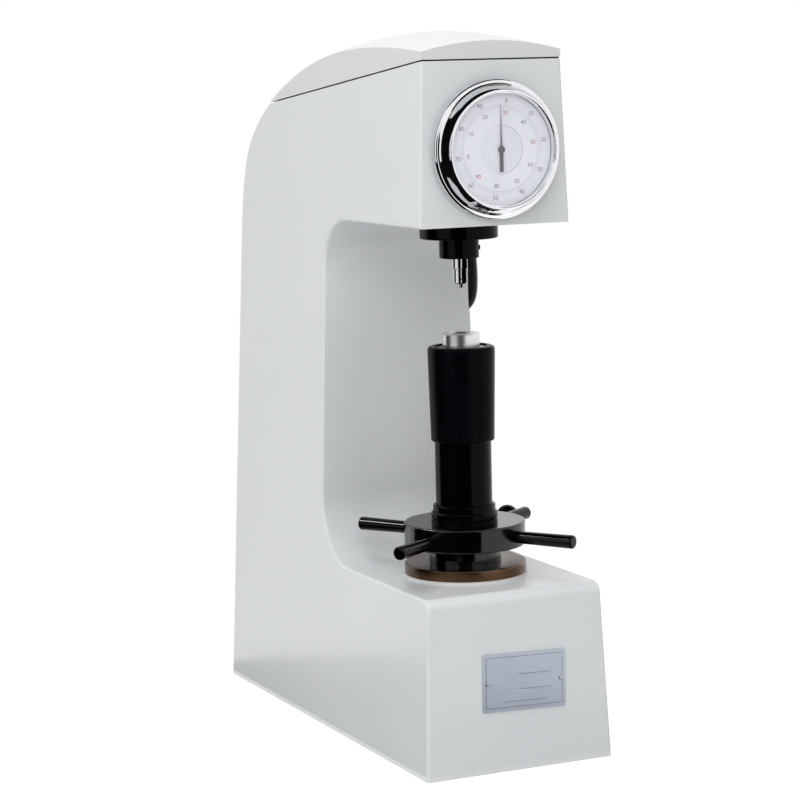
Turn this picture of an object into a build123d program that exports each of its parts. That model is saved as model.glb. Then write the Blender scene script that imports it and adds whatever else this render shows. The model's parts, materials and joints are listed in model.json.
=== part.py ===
from build123d import *
import math
import os

# Bench hardness tester of the dead-weight kind.  Millimetres, +Z up.
# Origin: middle of the base's underside.  The front faces -Y and +X is the right-hand side.

# ---------------------------------------------------------------- driving dimensions
# Cutting shapes
past = 1.0                      # a cut or a joined shape runs this far past the face it starts from
beyond = 300.0                  # half-size of a cutting shape that is larger than the stand
under_z = -20.0
sky_z = 760.0

# Stand
base_half_width = 89.3          # at the floor
side_draft = 0.0382             # each side leans in by this much per mm of height
base_front_y = -230.5
base_front_draft = 0.0396
base_front_edge_radius = 9.0
base_top_z = 155.4
head_bottom_z = 468.0
head_front_y = -200.3           # at the head's lower edge
head_front_draft = 0.0115
throat_wall_y = 3.7
throat_top_radius = 45.0
throat_bottom_radius = 58.0
back_y = 230.2                  # at the floor
back_draft = 0.042
wall = 7.0
floor_thickness = 8.0
outer_edge_radius = 2.5
inner_nose_radius = 1.0         # least radius of the cavity's front edge

# Lid and the curve over the back
seam_front_rise = 139.8         # above the head's lower face
seam_slope = 0.109
seam_gap = 1.4
lid_wall = 5.0
lid_back_y = 141.0
lid_blank_depth = 127.8         # below the front seam
lid_side_margin = 4.0           # the crown is drawn this much wider than the sides
lid_rear_margin = 8.0
lid_solid_end = 40.0            # length of the lid's thin rear end, which has no hollow
crown_front_margin = 4.7        # the crown is drawn from this far before the head's front
crown_pitch = 60.0
crown_edges = (6.3, 10.4, 11.2, 8.0, -1.2, -18.2, -44.4)   # rise of the sides over the front seam
crown_rises = (9.0, 13.0, 14.6, 13.6, 10.2, 5.2, 0.6)      # and how far the middle stands above them
back_curve = ((196.5, 84.8), (207.5, 121.8))   # y, and drop below the front seam, of two of its points
back_curve_end_drop = 157.8     # where the straight back begins
back_curve_start = (1.0, -0.53)  # direction in which the back leaves the lid
back_inset_forward = 1.6        # the cavity's corner under the lid's end, per mm of inset
back_inset_down = 0.4
gasket_inset = 1.2
gasket_width = 4.5
gasket_end = 22.0               # the strip stops this far before the lid does

# Spindle line, shared by the screw, the handwheel and the spindle
spindle_y = -128.5
running = 0.06                  # radial clearance of a running fit
seat = 0.3                      # clearance of pieces that only rest near each other

# Base ring, handwheel and its bearing
ring_radius = 54.1
ring_thickness = 9.8
ring_edge_radius = 1.2
ring_pad_height = 1.8           # raised pad of the base under the ring
ring_pad_margin = 1.2
disc_radius = 53.8
disc_rise = 14.8                # above the base ring
disc_thickness = 21.2
disc_edge_radius = 1.6
skirt_radius = 32.0
skirt_wall = 1.7
race_thickness = 3.5
race_inner_radius = 19.0
ball_radius = 2.4
ball_circle_radius = 24.5
ball_count = 18
cage_thickness = 1.6
cage_half_width = 4.0
nut_radius = 24.0
nut_flange_height = 6.0
nut_headroom = 1.0
handle_count = 4
handle_first_angle = 33.0
handle_root_radius = 5.4
handle_end_radius = 6.0
handle_tip_reach = 110.2
handle_drop = 0.6               # below the wheel's middle
handle_socket_depth = 9.0
handle_shoulder_depth = 0.6
handle_rim_gap = 0.1
handle_end_round = 1.8

# Collar and sleeves
collar_radius = 29.5
collar_height = 9.2
collar_groove_rise = 2.4
collar_groove_depth = 1.0
collar_groove_height = 1.4
collar_tier_radius = 27.8
collar_tier_height = 6.1
collar_bevel = 1.2
collar_tier_bevel = 0.8
lower_sleeve_radius = 25.1
lower_sleeve_wall = 2.0
lower_sleeve_lap = 27.9         # reach into the outer sleeve
lower_sleeve_edge_radius = 0.8
outer_sleeve_length = 83.9
outer_sleeve_bottom_radius = 28.1
outer_sleeve_top_radius = 29.8
outer_sleeve_bore = 26.3
outer_sleeve_edge = 3.0
outer_sleeve_edge_bulge = 0.3   # how full the top edge's corner is, as a share of it
outer_sleeve_band = 4.0         # straight band below the top edge
outer_sleeve_bottom_bevel = 0.8
sleeve_lip_width = 3.0
cap_thickness = 4.0
cap_recess = 1.0

# Elevating screw
screw_radius = 16.0
screw_bottom_z = 66.0
screw_end_bevel = 1.5
key_width = 6.0
keyway_depth = 4.0
keyway_end = 50.0               # the keyway stops this far below the screw's top
key_side_clearance = 0.12
key_length = 22.0
key_rise = 9.0                  # from the guide's lower end to the key
guide_radius = 27.0
guide_bottom_z = 112.0
boss_radius = 40.0
boss_bottom_z = 124.0
socket_radius = 16.6
socket_daylight = 38.1          # from the indenter's tip down to the socket, as drawn
socket_rise = 11.4              # above the outer sleeve
socket_bore = 8.3
socket_depth = 36.0
socket_stem_radius = 11.5
socket_stem_floor = 5.0
socket_edge_bevel = 0.8
socket_mouth_bevel = 1.0
floor_hole_radius = 24.0

# Spindle, indenter and guard
flange_radius = 34.6
flange_thickness = 14.4
hub_radius = 17.5
hub_height = 17.4               # below the flange
flange_edge_radius = 1.6
hub_edge_radius = 1.2
flange_sleeve_radius = 13.0
flange_sleeve_height = 16.0     # inside the head
flange_screw_circle = 27.0
flange_screw_radius = 2.5
flange_screw_count = 4
flange_screw_head = 4.5
flange_screw_head_height = 5.0
flange_screw_sink = 0.2
flange_screw_key = 2.2
flange_screw_key_depth = 4.0
spindle_radius = 6.8
spindle_nose = 9.7              # below the hub
spindle_top_drop = 3.8          # below the main lever
spindle_bevel = 0.6
holder_radius = 5.9
holder_length = 13.0
holder_stem_radius = 4.0
holder_stem_length = 17.0
holder_bevel = 1.2
indenter_radius = 2.6
indenter_reach = 5.0            # below its holder
indenter_stem_height = 9.0
indenter_cone_angle = 120.0
indenter_top_gap = 0.2
set_screw_radius = 1.2
set_screw_sink = 0.2
tappet_half_width = 4.5
tappet_hub_radius = 11.5
tappet_thickness = 6.5
guard_top_radius = 15.3
guard_belly_radius = 15.9
guard_belly_drop = 20.5         # below the hub
guard_tip_drop = 16.9           # below the indenter's tip
guard_thickness = 1.8
guard_root_height = 6.0
guard_cut = 7.35                # distance of the cut-away plane from the spindle's axis
guard_azimuth = -25.0
guard_tip_overhang = 1.15
guard_tip_width = 2.4
guard_tip_rise = 1.4
guard_side_lean = 0.06
guard_nose_rise = 0.85
guard_screw_radius = 1.6
guard_screw_rise = 9.0
guard_screw_head_step = 0.5
guard_screw_head_height = 1.1
guard_screw_end_gap = 0.1

# Dial
dial_floor_gap = 5.7            # from the head's floor to the case's flange
bezel_radius = 59.3
bezel_stand_off = 1.84          # before the head's front, at the dial's middle
bezel_depth = 18.8
bezel_opening_radius = 48.4
bezel_rim_radius = 1.6
bezel_band = 4.6                # width of the bright band around the rear
bezel_step_radius = 2.4
bezel_waist = (5.6, 11.5)       # inwards from the rim and forwards from the rear
bezel_lip = (2.2, 0.6)          # outwards from the opening and back from the front
bezel_lip_drop = 0.8
glass_recess = 1.4
case_radius = 45.9
hand_room = 5.2                 # from the glass to the case
case_depth = 45.6
case_wall = 3.0
case_front_web = 2.4
case_flange_thickness = 3.0
case_flange_gap = 0.1
case_screw_count = 3
case_screw_first_angle = 60.0
bridge_half_width = 8.0
bridge_depth = 22.0
case_flange_radius = 52.0
case_hole_clearance = 0.6
face_radius = 47.4
face_thickness = 1.2
glass_thickness = 2.0
glass_edge_gap = 0.2
face_case_gap = 0.1
face_hole_margin = 1.0
pointer_length = 37.6
pointer_tail = 18.7
pointer_thickness = 0.5
pointer_root_half_width = 0.9
pointer_tip_half_width = 0.25
pointer_tail_half_width = 1.6
pointer_shoulder = 3.0
pointer_boss_radius = 3.0
pointer_boss_height = 0.4
pointer_face_gap = 1.0
arbor_radius = 1.5
arbor_tip_radius = 1.0
arbor_step_gap = 0.1
arbor_rear_end = 12.0           # from the case's back to the arbor's rear end
arbor_hole_end = 8.0
arbor_gear_radius = 5.0
arbor_gear_place = (30.0, 25.0)  # front and rear of the gear blank, from the case's back

# Levers inside the head
fulcrum_arm = 14.0              # fulcrum to spindle
lever_arm = 264.5               # fulcrum to hanger
lever_axis_rise = 60.0          # above the head's floor
lever_half_width = 10.0
lever_drop = 10.5               # below its axis
lever_rise = 13.5               # and above it
lever_front_margin = 13.0       # past the fulcrum
lever_rear_margin = 12.0        # past the hanger
lever_corner_radius = 4.0
lever_web_half_width = 4.0
lever_flange = 5.0
lever_recess_front = 22.0       # behind the spindle
lever_recess_rear = 18.0        # before the hanger
knife_size = 9.0
window_side = 3.0
window_slope = 0.42
window_drop = 3.5
cheek_inner_x = 14.0
cheek_outer_x = 23.0
cheek_front = 14.0
cheek_rear = 7.0
cheek_rise = 3.0
bracket_thickness = 7.0
bracket_half_width = 34.0
bracket_front = 16.0            # before the fulcrum
bracket_rear = 30.0             # behind the spindle
bracket_screw_x = 27.0
bracket_screw_y = (-8.0, 22.0)  # from the spindle
measuring_arm = 12.0
measuring_upright = 48.0
measuring_pivot_rise = 22.0     # above the head's floor
measuring_x = -28.5
measuring_thickness = 5.0
measuring_pin_radius = 2.5
measuring_pin_head_radius = 4.2
measuring_pin_head_thickness = 4.5
measuring_pin_gap = 0.5
measuring_half_depth = 3.0
measuring_hub_radius = 6.0
measuring_reach = 4.0           # past the spindle's axis
measuring_overlap = 5.0         # above the plunger's axis
plunger_radius = 2.5
plunger_depth = 20.0            # inside the case
plunger_head_step = 1.2
plunger_head_thickness = 3.0

# Hanger and weights
hanger_rod_radius = 6.0
hanger_plate_z = 56.0
hanger_plate_thickness = 6.0
hanger_plate_radius = 45.0
hanger_stud_radius = 5.0
weight_bevel = 1.5
weight_radius = 60.0
weight_heights = {"weight_large": 35.0, "weight_medium": 27.0, "weight_small": 22.0}
stirrup_inner_x = 12.0
stirrup_thickness = 5.0
stirrup_half_depth = 13.0
stirrup_lap = 1.0
stirrup_drop = 24.0             # below the lever
stirrup_floor = 8.0
stirrup_rise = 10.0             # above the lever's axis

# Operating lever, lift rod and dashpot
operating_y = 21.0
operating_z = 95.0
operating_shaft_radius = 7.0
crank_radius = 14.0
crank_half_swing = 37.5         # degrees to each side of level
crank_pin_radius = 4.0
crank_inner_x = 12.0
crank_thickness = 9.0
crank_rim = 3.0
arm_thickness = 7.0
arm_half_width = 5.5
arm_hub_radius = 12.0
arm_hub_step = 1.0
arm_end_gap = 4.0
stud_radius = 3.4
stud_sink = 2.0                 # into the arm's end
stud_end = 2.0                  # short of the knob's middle
knob_centre = (108.0, 0.5, 177.0)
knob_radius = 10.5
knob_flat = 1.5
bush_radius = 13.0
bush_flange_radius = 18.0
bush_flange_thickness = 4.0
yoke_half_depth = 15.0
yoke_half_height = 12.0
yoke_half_width = 7.0
yoke_clearance = 0.6
yoke_end_room = 1.0
lift_rod_radius = 6.0
dashpot_radius = 22.0
dashpot_bore = 17.0
dashpot_top_z = 62.0
dashpot_cap_thickness = 4.0
dashpot_floor = 5.0
piston_z = 46.0
piston_thickness = 8.0
piston_rod_radius = 4.5
port_count = 6
port_radius = 1.2
port_circle_radius = 11.0
guide_heights = (300.0, 440.0)
guide_thickness = 14.0
guide_half_width = 11.0

# Load selector
selector_y = 130.0
selector_z = 330.0
selector_shaft_radius = 6.0
selector_inner_x = 16.0
selector_knob_radius = 21.0
selector_knob_thickness = 18.0
selector_gap = 1.0
selector_hole_end = 5.0
selector_edge_radius = 2.0
flute_count = 16
flute_radius = 3.0
flute_stand_off = 1.6
flute_start = 3.0
grip_bar = (3.0, 2.0, 4.0)      # half width, depth into the knob and height above it
grip_bar_inset = 4.0
cam_gap = 4.0
cam_radius = 17.0
cam_offset = 6.0
cam_thickness = 10.0

# Plates and screws
cover_half_width = 54.0
cover_bottom_z = 40.0
cover_top_margin = 20.0         # below the straight back's upper end
cover_thickness = 3.0
cover_lip = 9.0
cover_corner_radius = 8.0
cover_hole_corner_radius = 2.0
screw_head_radius = 4.0
screw_head_height = 2.4
screw_shank_radius = 2.0
screw_shank_length = 7.0
screw_roundness = 0.45          # share of a head's height
screw_slot_share = 0.45
screw_slot_half_width = 0.5
inner_screw_radius = 1.5
inner_screw_head = 2.6
inner_screw_head_height = 1.6
inner_screw_shank = 9.0
plate_centre_x = 5.5
plate_centre_z = 77.4
plate_width = 80.0
plate_height = 50.0
plate_thickness = 1.0
plate_corner_radius = 1.5
plate_tilt = -1.9
rivet_radius = 1.9
rivet_height = 0.9
rivet_inset = 4.5
rivet_shank_radius = 0.95
rivet_roundness = 0.7
bolt_hole_radius = 5.0
bolt_spacing_x = 120.0
bolt_spacing_y = 380.0
bolt_pad_radius = 14.0
bolt_pad_height = 12.0


# ---------------------------------------------------------------- places worked out from them
def half_width(z, inset=0.0):
    return base_half_width - side_draft * z - inset


def base_front(z):
    return base_front_y + base_front_draft * z


def head_front(z):
    return head_front_y + head_front_draft * (z - head_bottom_z)


def back(z):
    return back_y - back_draft * z


def seam_z(y):
    return seam_front_z - seam_slope * (y - head_front(seam_front_z))


head_floor_z = head_bottom_z + wall
seam_front_z = head_bottom_z + seam_front_rise
lid_blank_bottom_z = seam_front_z - lid_blank_depth
back_curve_end_z = seam_front_z - back_curve_end_drop
cover_top_z = back_curve_end_z - cover_top_margin
crown_first_y = head_front_y - crown_front_margin
ring_pad_top_z = base_top_z + ring_pad_height
ring_top_z = ring_pad_top_z + ring_thickness
disc_bottom_z = ring_top_z + disc_rise
disc_top_z = disc_bottom_z + disc_thickness
collar_top_z = disc_top_z + collar_height
tier_top_z = collar_top_z + collar_tier_height
fulcrum_y = spindle_y - fulcrum_arm
hanger_y = fulcrum_y + lever_arm
lift_y = operating_y + crank_radius
pin_y = operating_y + crank_radius * math.cos(math.radians(crank_half_swing))
pin_z = operating_z + crank_radius * math.sin(math.radians(crank_half_swing))
lever_axis_z = head_floor_z + lever_axis_rise
lever_bottom_z = lever_axis_z - lever_drop
lever_top_z = lever_axis_z + lever_rise
flange_bottom_z = head_bottom_z - flange_thickness
flange_sleeve_top_z = head_bottom_z + flange_sleeve_height
hub_bottom_z = flange_bottom_z - hub_height
spindle_shoulder_z = hub_bottom_z - spindle_nose
spindle_top_z = lever_bottom_z - spindle_top_drop
holder_bottom_z = spindle_shoulder_z - holder_length
indenter_tip_z = holder_bottom_z - indenter_reach
guard_belly_z = hub_bottom_z - guard_belly_drop
guard_tip_z = indenter_tip_z - guard_tip_drop
socket_top_z = indenter_tip_z - socket_daylight
outer_sleeve_top_z = socket_top_z - socket_rise
outer_sleeve_bottom_z = outer_sleeve_top_z - outer_sleeve_length
lower_sleeve_top_z = outer_sleeve_bottom_z + lower_sleeve_lap
lift_top_z = lever_bottom_z - seat
collar_floor_z = disc_top_z + nut_flange_height + nut_headroom
cap_top_z = outer_sleeve_top_z - cap_recess
stirrup_z = lever_bottom_z - stirrup_drop
measuring_pivot_z = head_floor_z + measuring_pivot_rise
plunger_z = measuring_pivot_z + measuring_upright
measuring_pivot_y = spindle_y - measuring_arm
tappet_top_z = measuring_pivot_z - measuring_half_depth - seat
ball_z = ring_top_z + race_thickness + ball_radius + running
bearing_seat_z = ball_z + ball_radius + running + race_thickness
guard_screw_z = hub_bottom_z + guard_screw_rise
dial_z = head_floor_z + case_flange_radius + dial_floor_gap
bezel_rear_y = head_front(dial_z) - bezel_stand_off
bezel_front_y = bezel_rear_y - bezel_depth
glass_front_y = bezel_front_y + glass_recess
case_front_y = glass_front_y + glass_thickness + hand_room
case_back_y = case_front_y + case_depth
face_front_y = case_front_y - face_thickness - face_case_gap
pointer_rear_y = face_front_y - pointer_face_gap
case_seat_y = head_front(dial_z + case_flange_radius) + wall + case_flange_gap
bracket_top_z = head_floor_z + bracket_thickness
arm_inner_x = knob_centre[0] - arm_thickness / 2
arm_outer_x = arm_inner_x + arm_thickness
arm_length = math.hypot(knob_centre[1] - operating_y, knob_centre[2] - operating_z)


# ---------------------------------------------------------------- small helpers
def cylinder_z(radius, bottom, top, x=0.0, y=0.0):
    return Pos(x, y, (bottom + top) / 2) * Cylinder(radius, top - bottom)


def cylinder_x(radius, left, right, y, z):
    return Pos((left + right) / 2, y, z) * Rot(0, 90, 0) * Cylinder(radius, right - left)


def cylinder_y(radius, front, rear, x, z):
    return Pos(x, (front + rear) / 2, z) * Rot(90, 0, 0) * Cylinder(radius, rear - front)


def block(x, y, z):
    size = [high - low for low, high in (x, y, z)]
    return Pos(*[(low + high) / 2 for low, high in (x, y, z)]) * Box(*size)


def turned(points, x=0.0, y=0.0):
    """A solid of revolution about a vertical axis, from (radius, z) points."""
    face = Plane.XZ * make_face(Polyline(*points, close=True))
    return Pos(x, y, 0) * revolve(face, Axis.Z)


def wedge(inset=0.0):
    """The space between the two leaning sides of the stand."""
    corners = [(half_width(under_z, inset), under_z), (half_width(sky_z, inset), sky_z)]
    corners += [(-x, z) for x, z in reversed(corners)]
    return extrude(Plane.XZ * make_face(Polyline(*corners, close=True)), amount=beyond, both=True)


def above_seam(gap):
    """Everything higher than the lid's seam by a gap."""
    corners = ((-beyond, seam_z(-beyond) + gap), (beyond, seam_z(beyond) + gap), (beyond, sky_z),
               (-beyond, sky_z))
    return extrude(Plane.YZ * make_face(Polyline(*corners, close=True)), amount=beyond, both=True)


def pan_screw(radius, head_radius, head_height, shank):
    """A screw along +Z: its head stands above z = 0 and its shank goes below."""
    blank = cylinder_z(head_radius, 0, head_height)
    head = fillet(blank.edges().sort_by(Axis.Z)[-1], head_height * screw_roundness)
    slot = block((-head_radius, head_radius), (-screw_slot_half_width, screw_slot_half_width),
                 (head_height * (1 - screw_slot_share), head_height + past))
    return head + cylinder_z(radius, -shank, 0) - slot


# ---------------------------------------------------------------- stand
def stand_profile(inset=0.0, floor=0.0):
    """Side view of the stand below the seam, drawn inset from the outside by a wall."""
    top = head_bottom_z + inset
    bottom = base_top_z - inset
    throat = throat_wall_y + inset
    upper = throat_top_radius + inset
    lower = throat_bottom_radius + inset
    corner = 1 - math.sqrt(0.5)
    nose = max(base_front_edge_radius - inset, inner_nose_radius)
    nose_y = base_front(bottom - nose) + inset
    front_top = base_front(bottom) + inset
    lid_end = (lid_back_y - inset * back_inset_forward, seam_z(lid_back_y - inset * back_inset_forward))
    seam_front = head_front(seam_front_z) + inset
    curve = [(y - inset, seam_front_z - drop - inset * back_inset_down) for y, drop in back_curve]
    straight_end = (back(back_curve_end_z) - inset, back_curve_end_z)
    outline = [
        Line((base_front(floor) + inset, floor), (nose_y, bottom - nose)),
        ThreePointArc((nose_y, bottom - nose), (front_top + nose * corner, bottom - nose * corner),
                      (front_top + nose, bottom)),
        Line((front_top + nose, bottom), (throat - lower, bottom)),
        ThreePointArc((throat - lower, bottom), (throat - lower * corner, bottom + lower * corner),
                      (throat, bottom + lower)),
        Line((throat, bottom + lower), (throat, top - upper)),
        ThreePointArc((throat, top - upper), (throat - upper * corner, top - upper * corner),
                      (throat - upper, top)),
        Line((throat - upper, top), (head_front(top) + inset, top)),
        Line((head_front(top) + inset, top), (seam_front, seam_z(seam_front))),
        Line((seam_front, seam_z(seam_front)), lid_end),
        Spline(lid_end, *curve, straight_end, tangents=(back_curve_start, (back_draft, -1.0)),
               tangent_scalars=(1.0, 1.0)),
        Line(straight_end, (back(floor) - inset, floor)),
        Line((back(floor) - inset, floor), (base_front(floor) + inset, floor)),
    ]
    return Plane.YZ * make_face(Wire(Curve() + outline))


def stand_body():
    outer = extrude(stand_profile(), amount=beyond, both=True) & wedge()
    long_edges = [e for e in outer.edges() if abs(e.center().X) > base_half_width / 3
                  and not is_seam_or_floor(e)]
    return fillet(long_edges, outer_edge_radius)


def is_seam_or_floor(edge):
    """True for an edge that lies in the seam plane or on the floor."""
    ends = [edge @ 0, edge @ 1]
    on_floor = all(p.Z < 0.1 for p in ends)
    on_seam = all(abs(p.Z - seam_z(p.Y)) < 0.1 for p in ends)
    return on_floor or on_seam


def cover_frame(height):
    """A plane on the leaning back face at a height, with its normal pointing out."""
    return Plane(origin=(0, back(height), height), x_dir=(-1, 0, 0), z_dir=(0, 1, back_draft))


def cover_outline(inset):
    """Rounded rectangle of the rear cover, in the plane of the back face."""
    height = cover_top_z - cover_bottom_z
    corner = max(cover_corner_radius - inset, cover_hole_corner_radius)
    return RectangleRounded(2 * (cover_half_width - inset), height - 2 * inset, corner)


def main_housing():
    body = stand_body()
    body -= extrude(stand_profile(wall, floor_thickness), amount=beyond, both=True) & wedge(wall)
    body += cylinder_z(boss_radius, boss_bottom_z, base_top_z - wall / 2, 0, spindle_y)
    body += cylinder_z(ring_radius + ring_pad_margin, base_top_z - past, ring_pad_top_z, 0, spindle_y)
    pad_top = floor_thickness + bolt_pad_height
    for x in (-bolt_spacing_x / 2, bolt_spacing_x / 2):
        for y in (-bolt_spacing_y / 2, bolt_spacing_y / 2):
            body += cylinder_z(bolt_pad_radius, floor_thickness / 2, pad_top, x, y)
            body -= cylinder_z(bolt_hole_radius, -past, pad_top + past, x, y)
    body -= cylinder_z(guide_radius, boss_bottom_z - past, ring_pad_top_z + past, 0, spindle_y)
    body -= cylinder_z(floor_hole_radius, -past, floor_thickness + past, 0, spindle_y)
    body -= cylinder_z(flange_sleeve_radius + seat, head_bottom_z - past, head_floor_z + past, 0, spindle_y)
    body -= cylinder_y(case_radius + case_hole_clearance, head_front(dial_z) - wall,
                       head_front(dial_z) + 2 * wall, 0, dial_z)
    for y, z in ((operating_y, operating_z), (selector_y, selector_z)):
        body -= cylinder_x(bush_radius, half_width(z) - 2 * wall, half_width(z) + wall, y, z)
    frame = cover_frame((cover_bottom_z + cover_top_z) / 2)
    body -= extrude(frame * cover_outline(cover_lip), amount=3 * wall, both=True)
    cover_hole = cylinder_z(screw_shank_radius, -screw_shank_length, past)
    body -= [place * cover_hole for place in cover_screw_places()]
    body -= [place * cylinder_z(flange_screw_radius, -past, wall / 2) for place in flange_screw_places()]
    inner_places = bracket_screw_places() + case_screw_places()
    body -= [place * cylinder_z(inner_screw_radius, -inner_screw_shank, 0) for place in inner_places]
    return body


def crown_section(y, edge, rise):
    """A tall face across the lid at one station, closed by the crown's gentle curve."""
    half = half_width(edge) + lid_side_margin
    outline = [Line((-half, lid_blank_bottom_z), (-half, edge)),
               Bezier((-half, edge), (0, edge + 2 * rise), (half, edge)),
               Line((half, edge), (half, lid_blank_bottom_z)),
               Line((half, lid_blank_bottom_z), (-half, lid_blank_bottom_z))]
    return Plane.XZ.offset(-y) * make_face(Wire(Curve() + outline))


def lid_blank(drop=0.0):
    """The lid's crowned upper surface, as a tall solid lofted through stations from front to back."""
    stations = [(crown_first_y + i * crown_pitch, seam_front_z + edge - drop, rise)
                for i, (edge, rise) in enumerate(zip(crown_edges, crown_rises))]
    return loft([crown_section(*station) for station in stations])


def head_front_half_space(inset=0.0):
    """Everything behind the head's leaning front face, as far back as the lid reaches."""
    rear = lid_back_y + lid_rear_margin
    low = lid_blank_bottom_z
    corners = ((head_front(low) + inset, low), (head_front(sky_z) + inset, sky_z), (rear, sky_z), (rear, low))
    return extrude(Plane.YZ * make_face(Polyline(*corners, close=True)), amount=beyond, both=True)


def before(y):
    """Everything in front of a place along Y, around the lid."""
    return block((-beyond, beyond), (-beyond, y), (lid_blank_bottom_z - beyond, sky_z))


def top_cover():
    outer = lid_blank() & wedge() & above_seam(seam_gap) & head_front_half_space()
    pocket = lid_blank(lid_wall) & wedge(lid_wall) & above_seam(-past) & head_front_half_space(lid_wall)
    return outer - (pocket & before(lid_back_y - lid_solid_end))


def lid_gasket():
    """A flat strip around the top of the stand, set back a little, that shows as a dark line."""
    strip = above_seam(0.0) - above_seam(seam_gap)
    end = lid_back_y - gasket_end
    outer = strip & wedge(gasket_inset) & head_front_half_space(gasket_inset) & before(end)
    inner = gasket_inset + gasket_width
    return outer - (wedge(inner) & head_front_half_space(inner) & before(end - gasket_width))


# ---------------------------------------------------------------- plates on the stand
def cover_screw_places():
    """Two columns of screws around the rear cover."""
    middle = (cover_bottom_z + cover_top_z) / 2
    reach = (cover_top_z - cover_bottom_z) / 2 - cover_lip / 2
    frame = cover_frame(middle)
    columns = cover_half_width - cover_lip / 2
    return [Location(frame) * Pos(x, z, 0) for x in (-columns, columns) for z in (-reach, 0, reach)]


def rear_cover():
    frame = cover_frame((cover_bottom_z + cover_top_z) / 2)
    plate = extrude(frame * cover_outline(0), amount=cover_thickness)
    hole = cylinder_z(screw_shank_radius + running, -past, cover_thickness + past)
    return plate - [place * hole for place in cover_screw_places()]


def rear_cover_screws():
    screw = pan_screw(screw_shank_radius, screw_head_radius, screw_head_height, screw_shank_length)
    return [place * Pos(0, 0, cover_thickness) * screw for place in cover_screw_places()]


def plate_frame():
    """The nameplate's plane on the leaning front of the base, with its normal pointing out."""
    place = Plane(origin=(plate_centre_x, base_front(plate_centre_z), plate_centre_z), x_dir=(1, 0, 0),
                  z_dir=(0, -1, base_front_draft))
    return Location(place) * Rot(0, 0, plate_tilt)


def rivet_places():
    reach = plate_width / 2 - rivet_inset
    return [plate_frame() * Pos(x, 0, 0) for x in (-reach, reach)]


def nameplate():
    plate = extrude(RectangleRounded(plate_width, plate_height, plate_corner_radius), amount=plate_thickness)
    hole = cylinder_z(rivet_shank_radius, -past, plate_thickness + past)
    return plate_frame() * plate - [place * hole for place in rivet_places()]


def nameplate_rivets():
    head = cylinder_z(rivet_radius, plate_thickness, plate_thickness + rivet_height)
    head = fillet(head.edges().sort_by(Axis.Z)[-1], rivet_height * rivet_roundness)
    shank = cylinder_z(rivet_shank_radius - running, 0, plate_thickness)
    return [place * (head + shank) for place in rivet_places()]


# ---------------------------------------------------------------- base ring, bearing, handwheel
def base_ring():
    blank = cylinder_z(ring_radius, ring_pad_top_z, ring_top_z, 0, spindle_y)
    blank = fillet(blank.edges().sort_by(Axis.Z)[-1], ring_edge_radius)
    return blank - cylinder_z(guide_radius, ring_pad_top_z - past, ring_top_z + past, 0, spindle_y)


def screw_guide():
    """Bush that keeps the screw upright; its key stops the screw from turning."""
    bush = cylinder_z(guide_radius, guide_bottom_z, ring_top_z, 0, spindle_y)
    bush -= cylinder_z(screw_radius + running, guide_bottom_z - past, ring_top_z + past, 0, spindle_y)
    return bush - block((screw_radius - keyway_depth, guide_radius + past), key_range(), key_height())


def key_range(clearance=0.0):
    half = key_width / 2 + clearance
    return (spindle_y - half, spindle_y + half)


def key_height():
    bottom = guide_bottom_z + key_rise
    return (bottom, bottom + key_length)


def guide_key():
    return block((screw_radius - keyway_depth + seat, guide_radius - seat), key_range(), key_height())


def race(bottom, outer):
    """A flat bearing race."""
    ring = cylinder_z(outer, bottom, bottom + race_thickness, 0, spindle_y)
    return ring - cylinder_z(race_inner_radius, bottom - past, bottom + race_thickness + past, 0, spindle_y)


def bearing_lower_race():
    return race(ring_top_z, skirt_radius - skirt_wall - 2 * seat)


def bearing_upper_race():
    return race(ball_z + ball_radius + running, skirt_radius - skirt_wall)


def ball_places():
    step = 360 / ball_count
    return [Pos(0, spindle_y, ball_z) * Rot(0, 0, i * step) * Pos(ball_circle_radius, 0, 0)
            for i in range(ball_count)]


def bearing_balls():
    return [place * Sphere(ball_radius) for place in ball_places()]


def bearing_cage():
    low, high = ball_z - cage_thickness / 2, ball_z + cage_thickness / 2
    ring = cylinder_z(ball_circle_radius + cage_half_width, low, high, 0, spindle_y)
    ring -= cylinder_z(ball_circle_radius - cage_half_width, low - past, high + past, 0, spindle_y)
    return ring - [place * Cylinder(ball_radius + running, 2 * cage_half_width) for place in ball_places()]


def handle_places():
    step = 360 / handle_count
    middle = (disc_bottom_z + disc_top_z) / 2 - handle_drop
    return [Pos(0, spindle_y, middle) * Rot(0, 0, handle_first_angle + i * step) for i in range(handle_count)]


def handwheel():
    disc = cylinder_z(disc_radius, disc_bottom_z, disc_top_z, 0, spindle_y)
    rims = disc.edges().group_by(Axis.Z)
    disc = fillet(rims[0] + rims[-1], disc_edge_radius)
    disc += cylinder_z(skirt_radius, ring_top_z + seat, disc_bottom_z + past, 0, spindle_y)
    disc -= cylinder_z(skirt_radius - skirt_wall, ring_top_z - past, bearing_seat_z, 0, spindle_y)
    disc -= cylinder_z(nut_radius, ring_top_z, disc_top_z + past, 0, spindle_y)
    socket = cylinder_x(handle_root_radius, disc_radius - handle_socket_depth, disc_radius + past, 0, 0)
    return disc - [place * socket for place in handle_places()]


def lifting_nut():
    top = disc_top_z + nut_flange_height
    nut = cylinder_z(nut_radius, bearing_seat_z, top, 0, spindle_y)
    return nut - cylinder_z(screw_radius + running, bearing_seat_z - past, top + past, 0, spindle_y)


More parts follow.
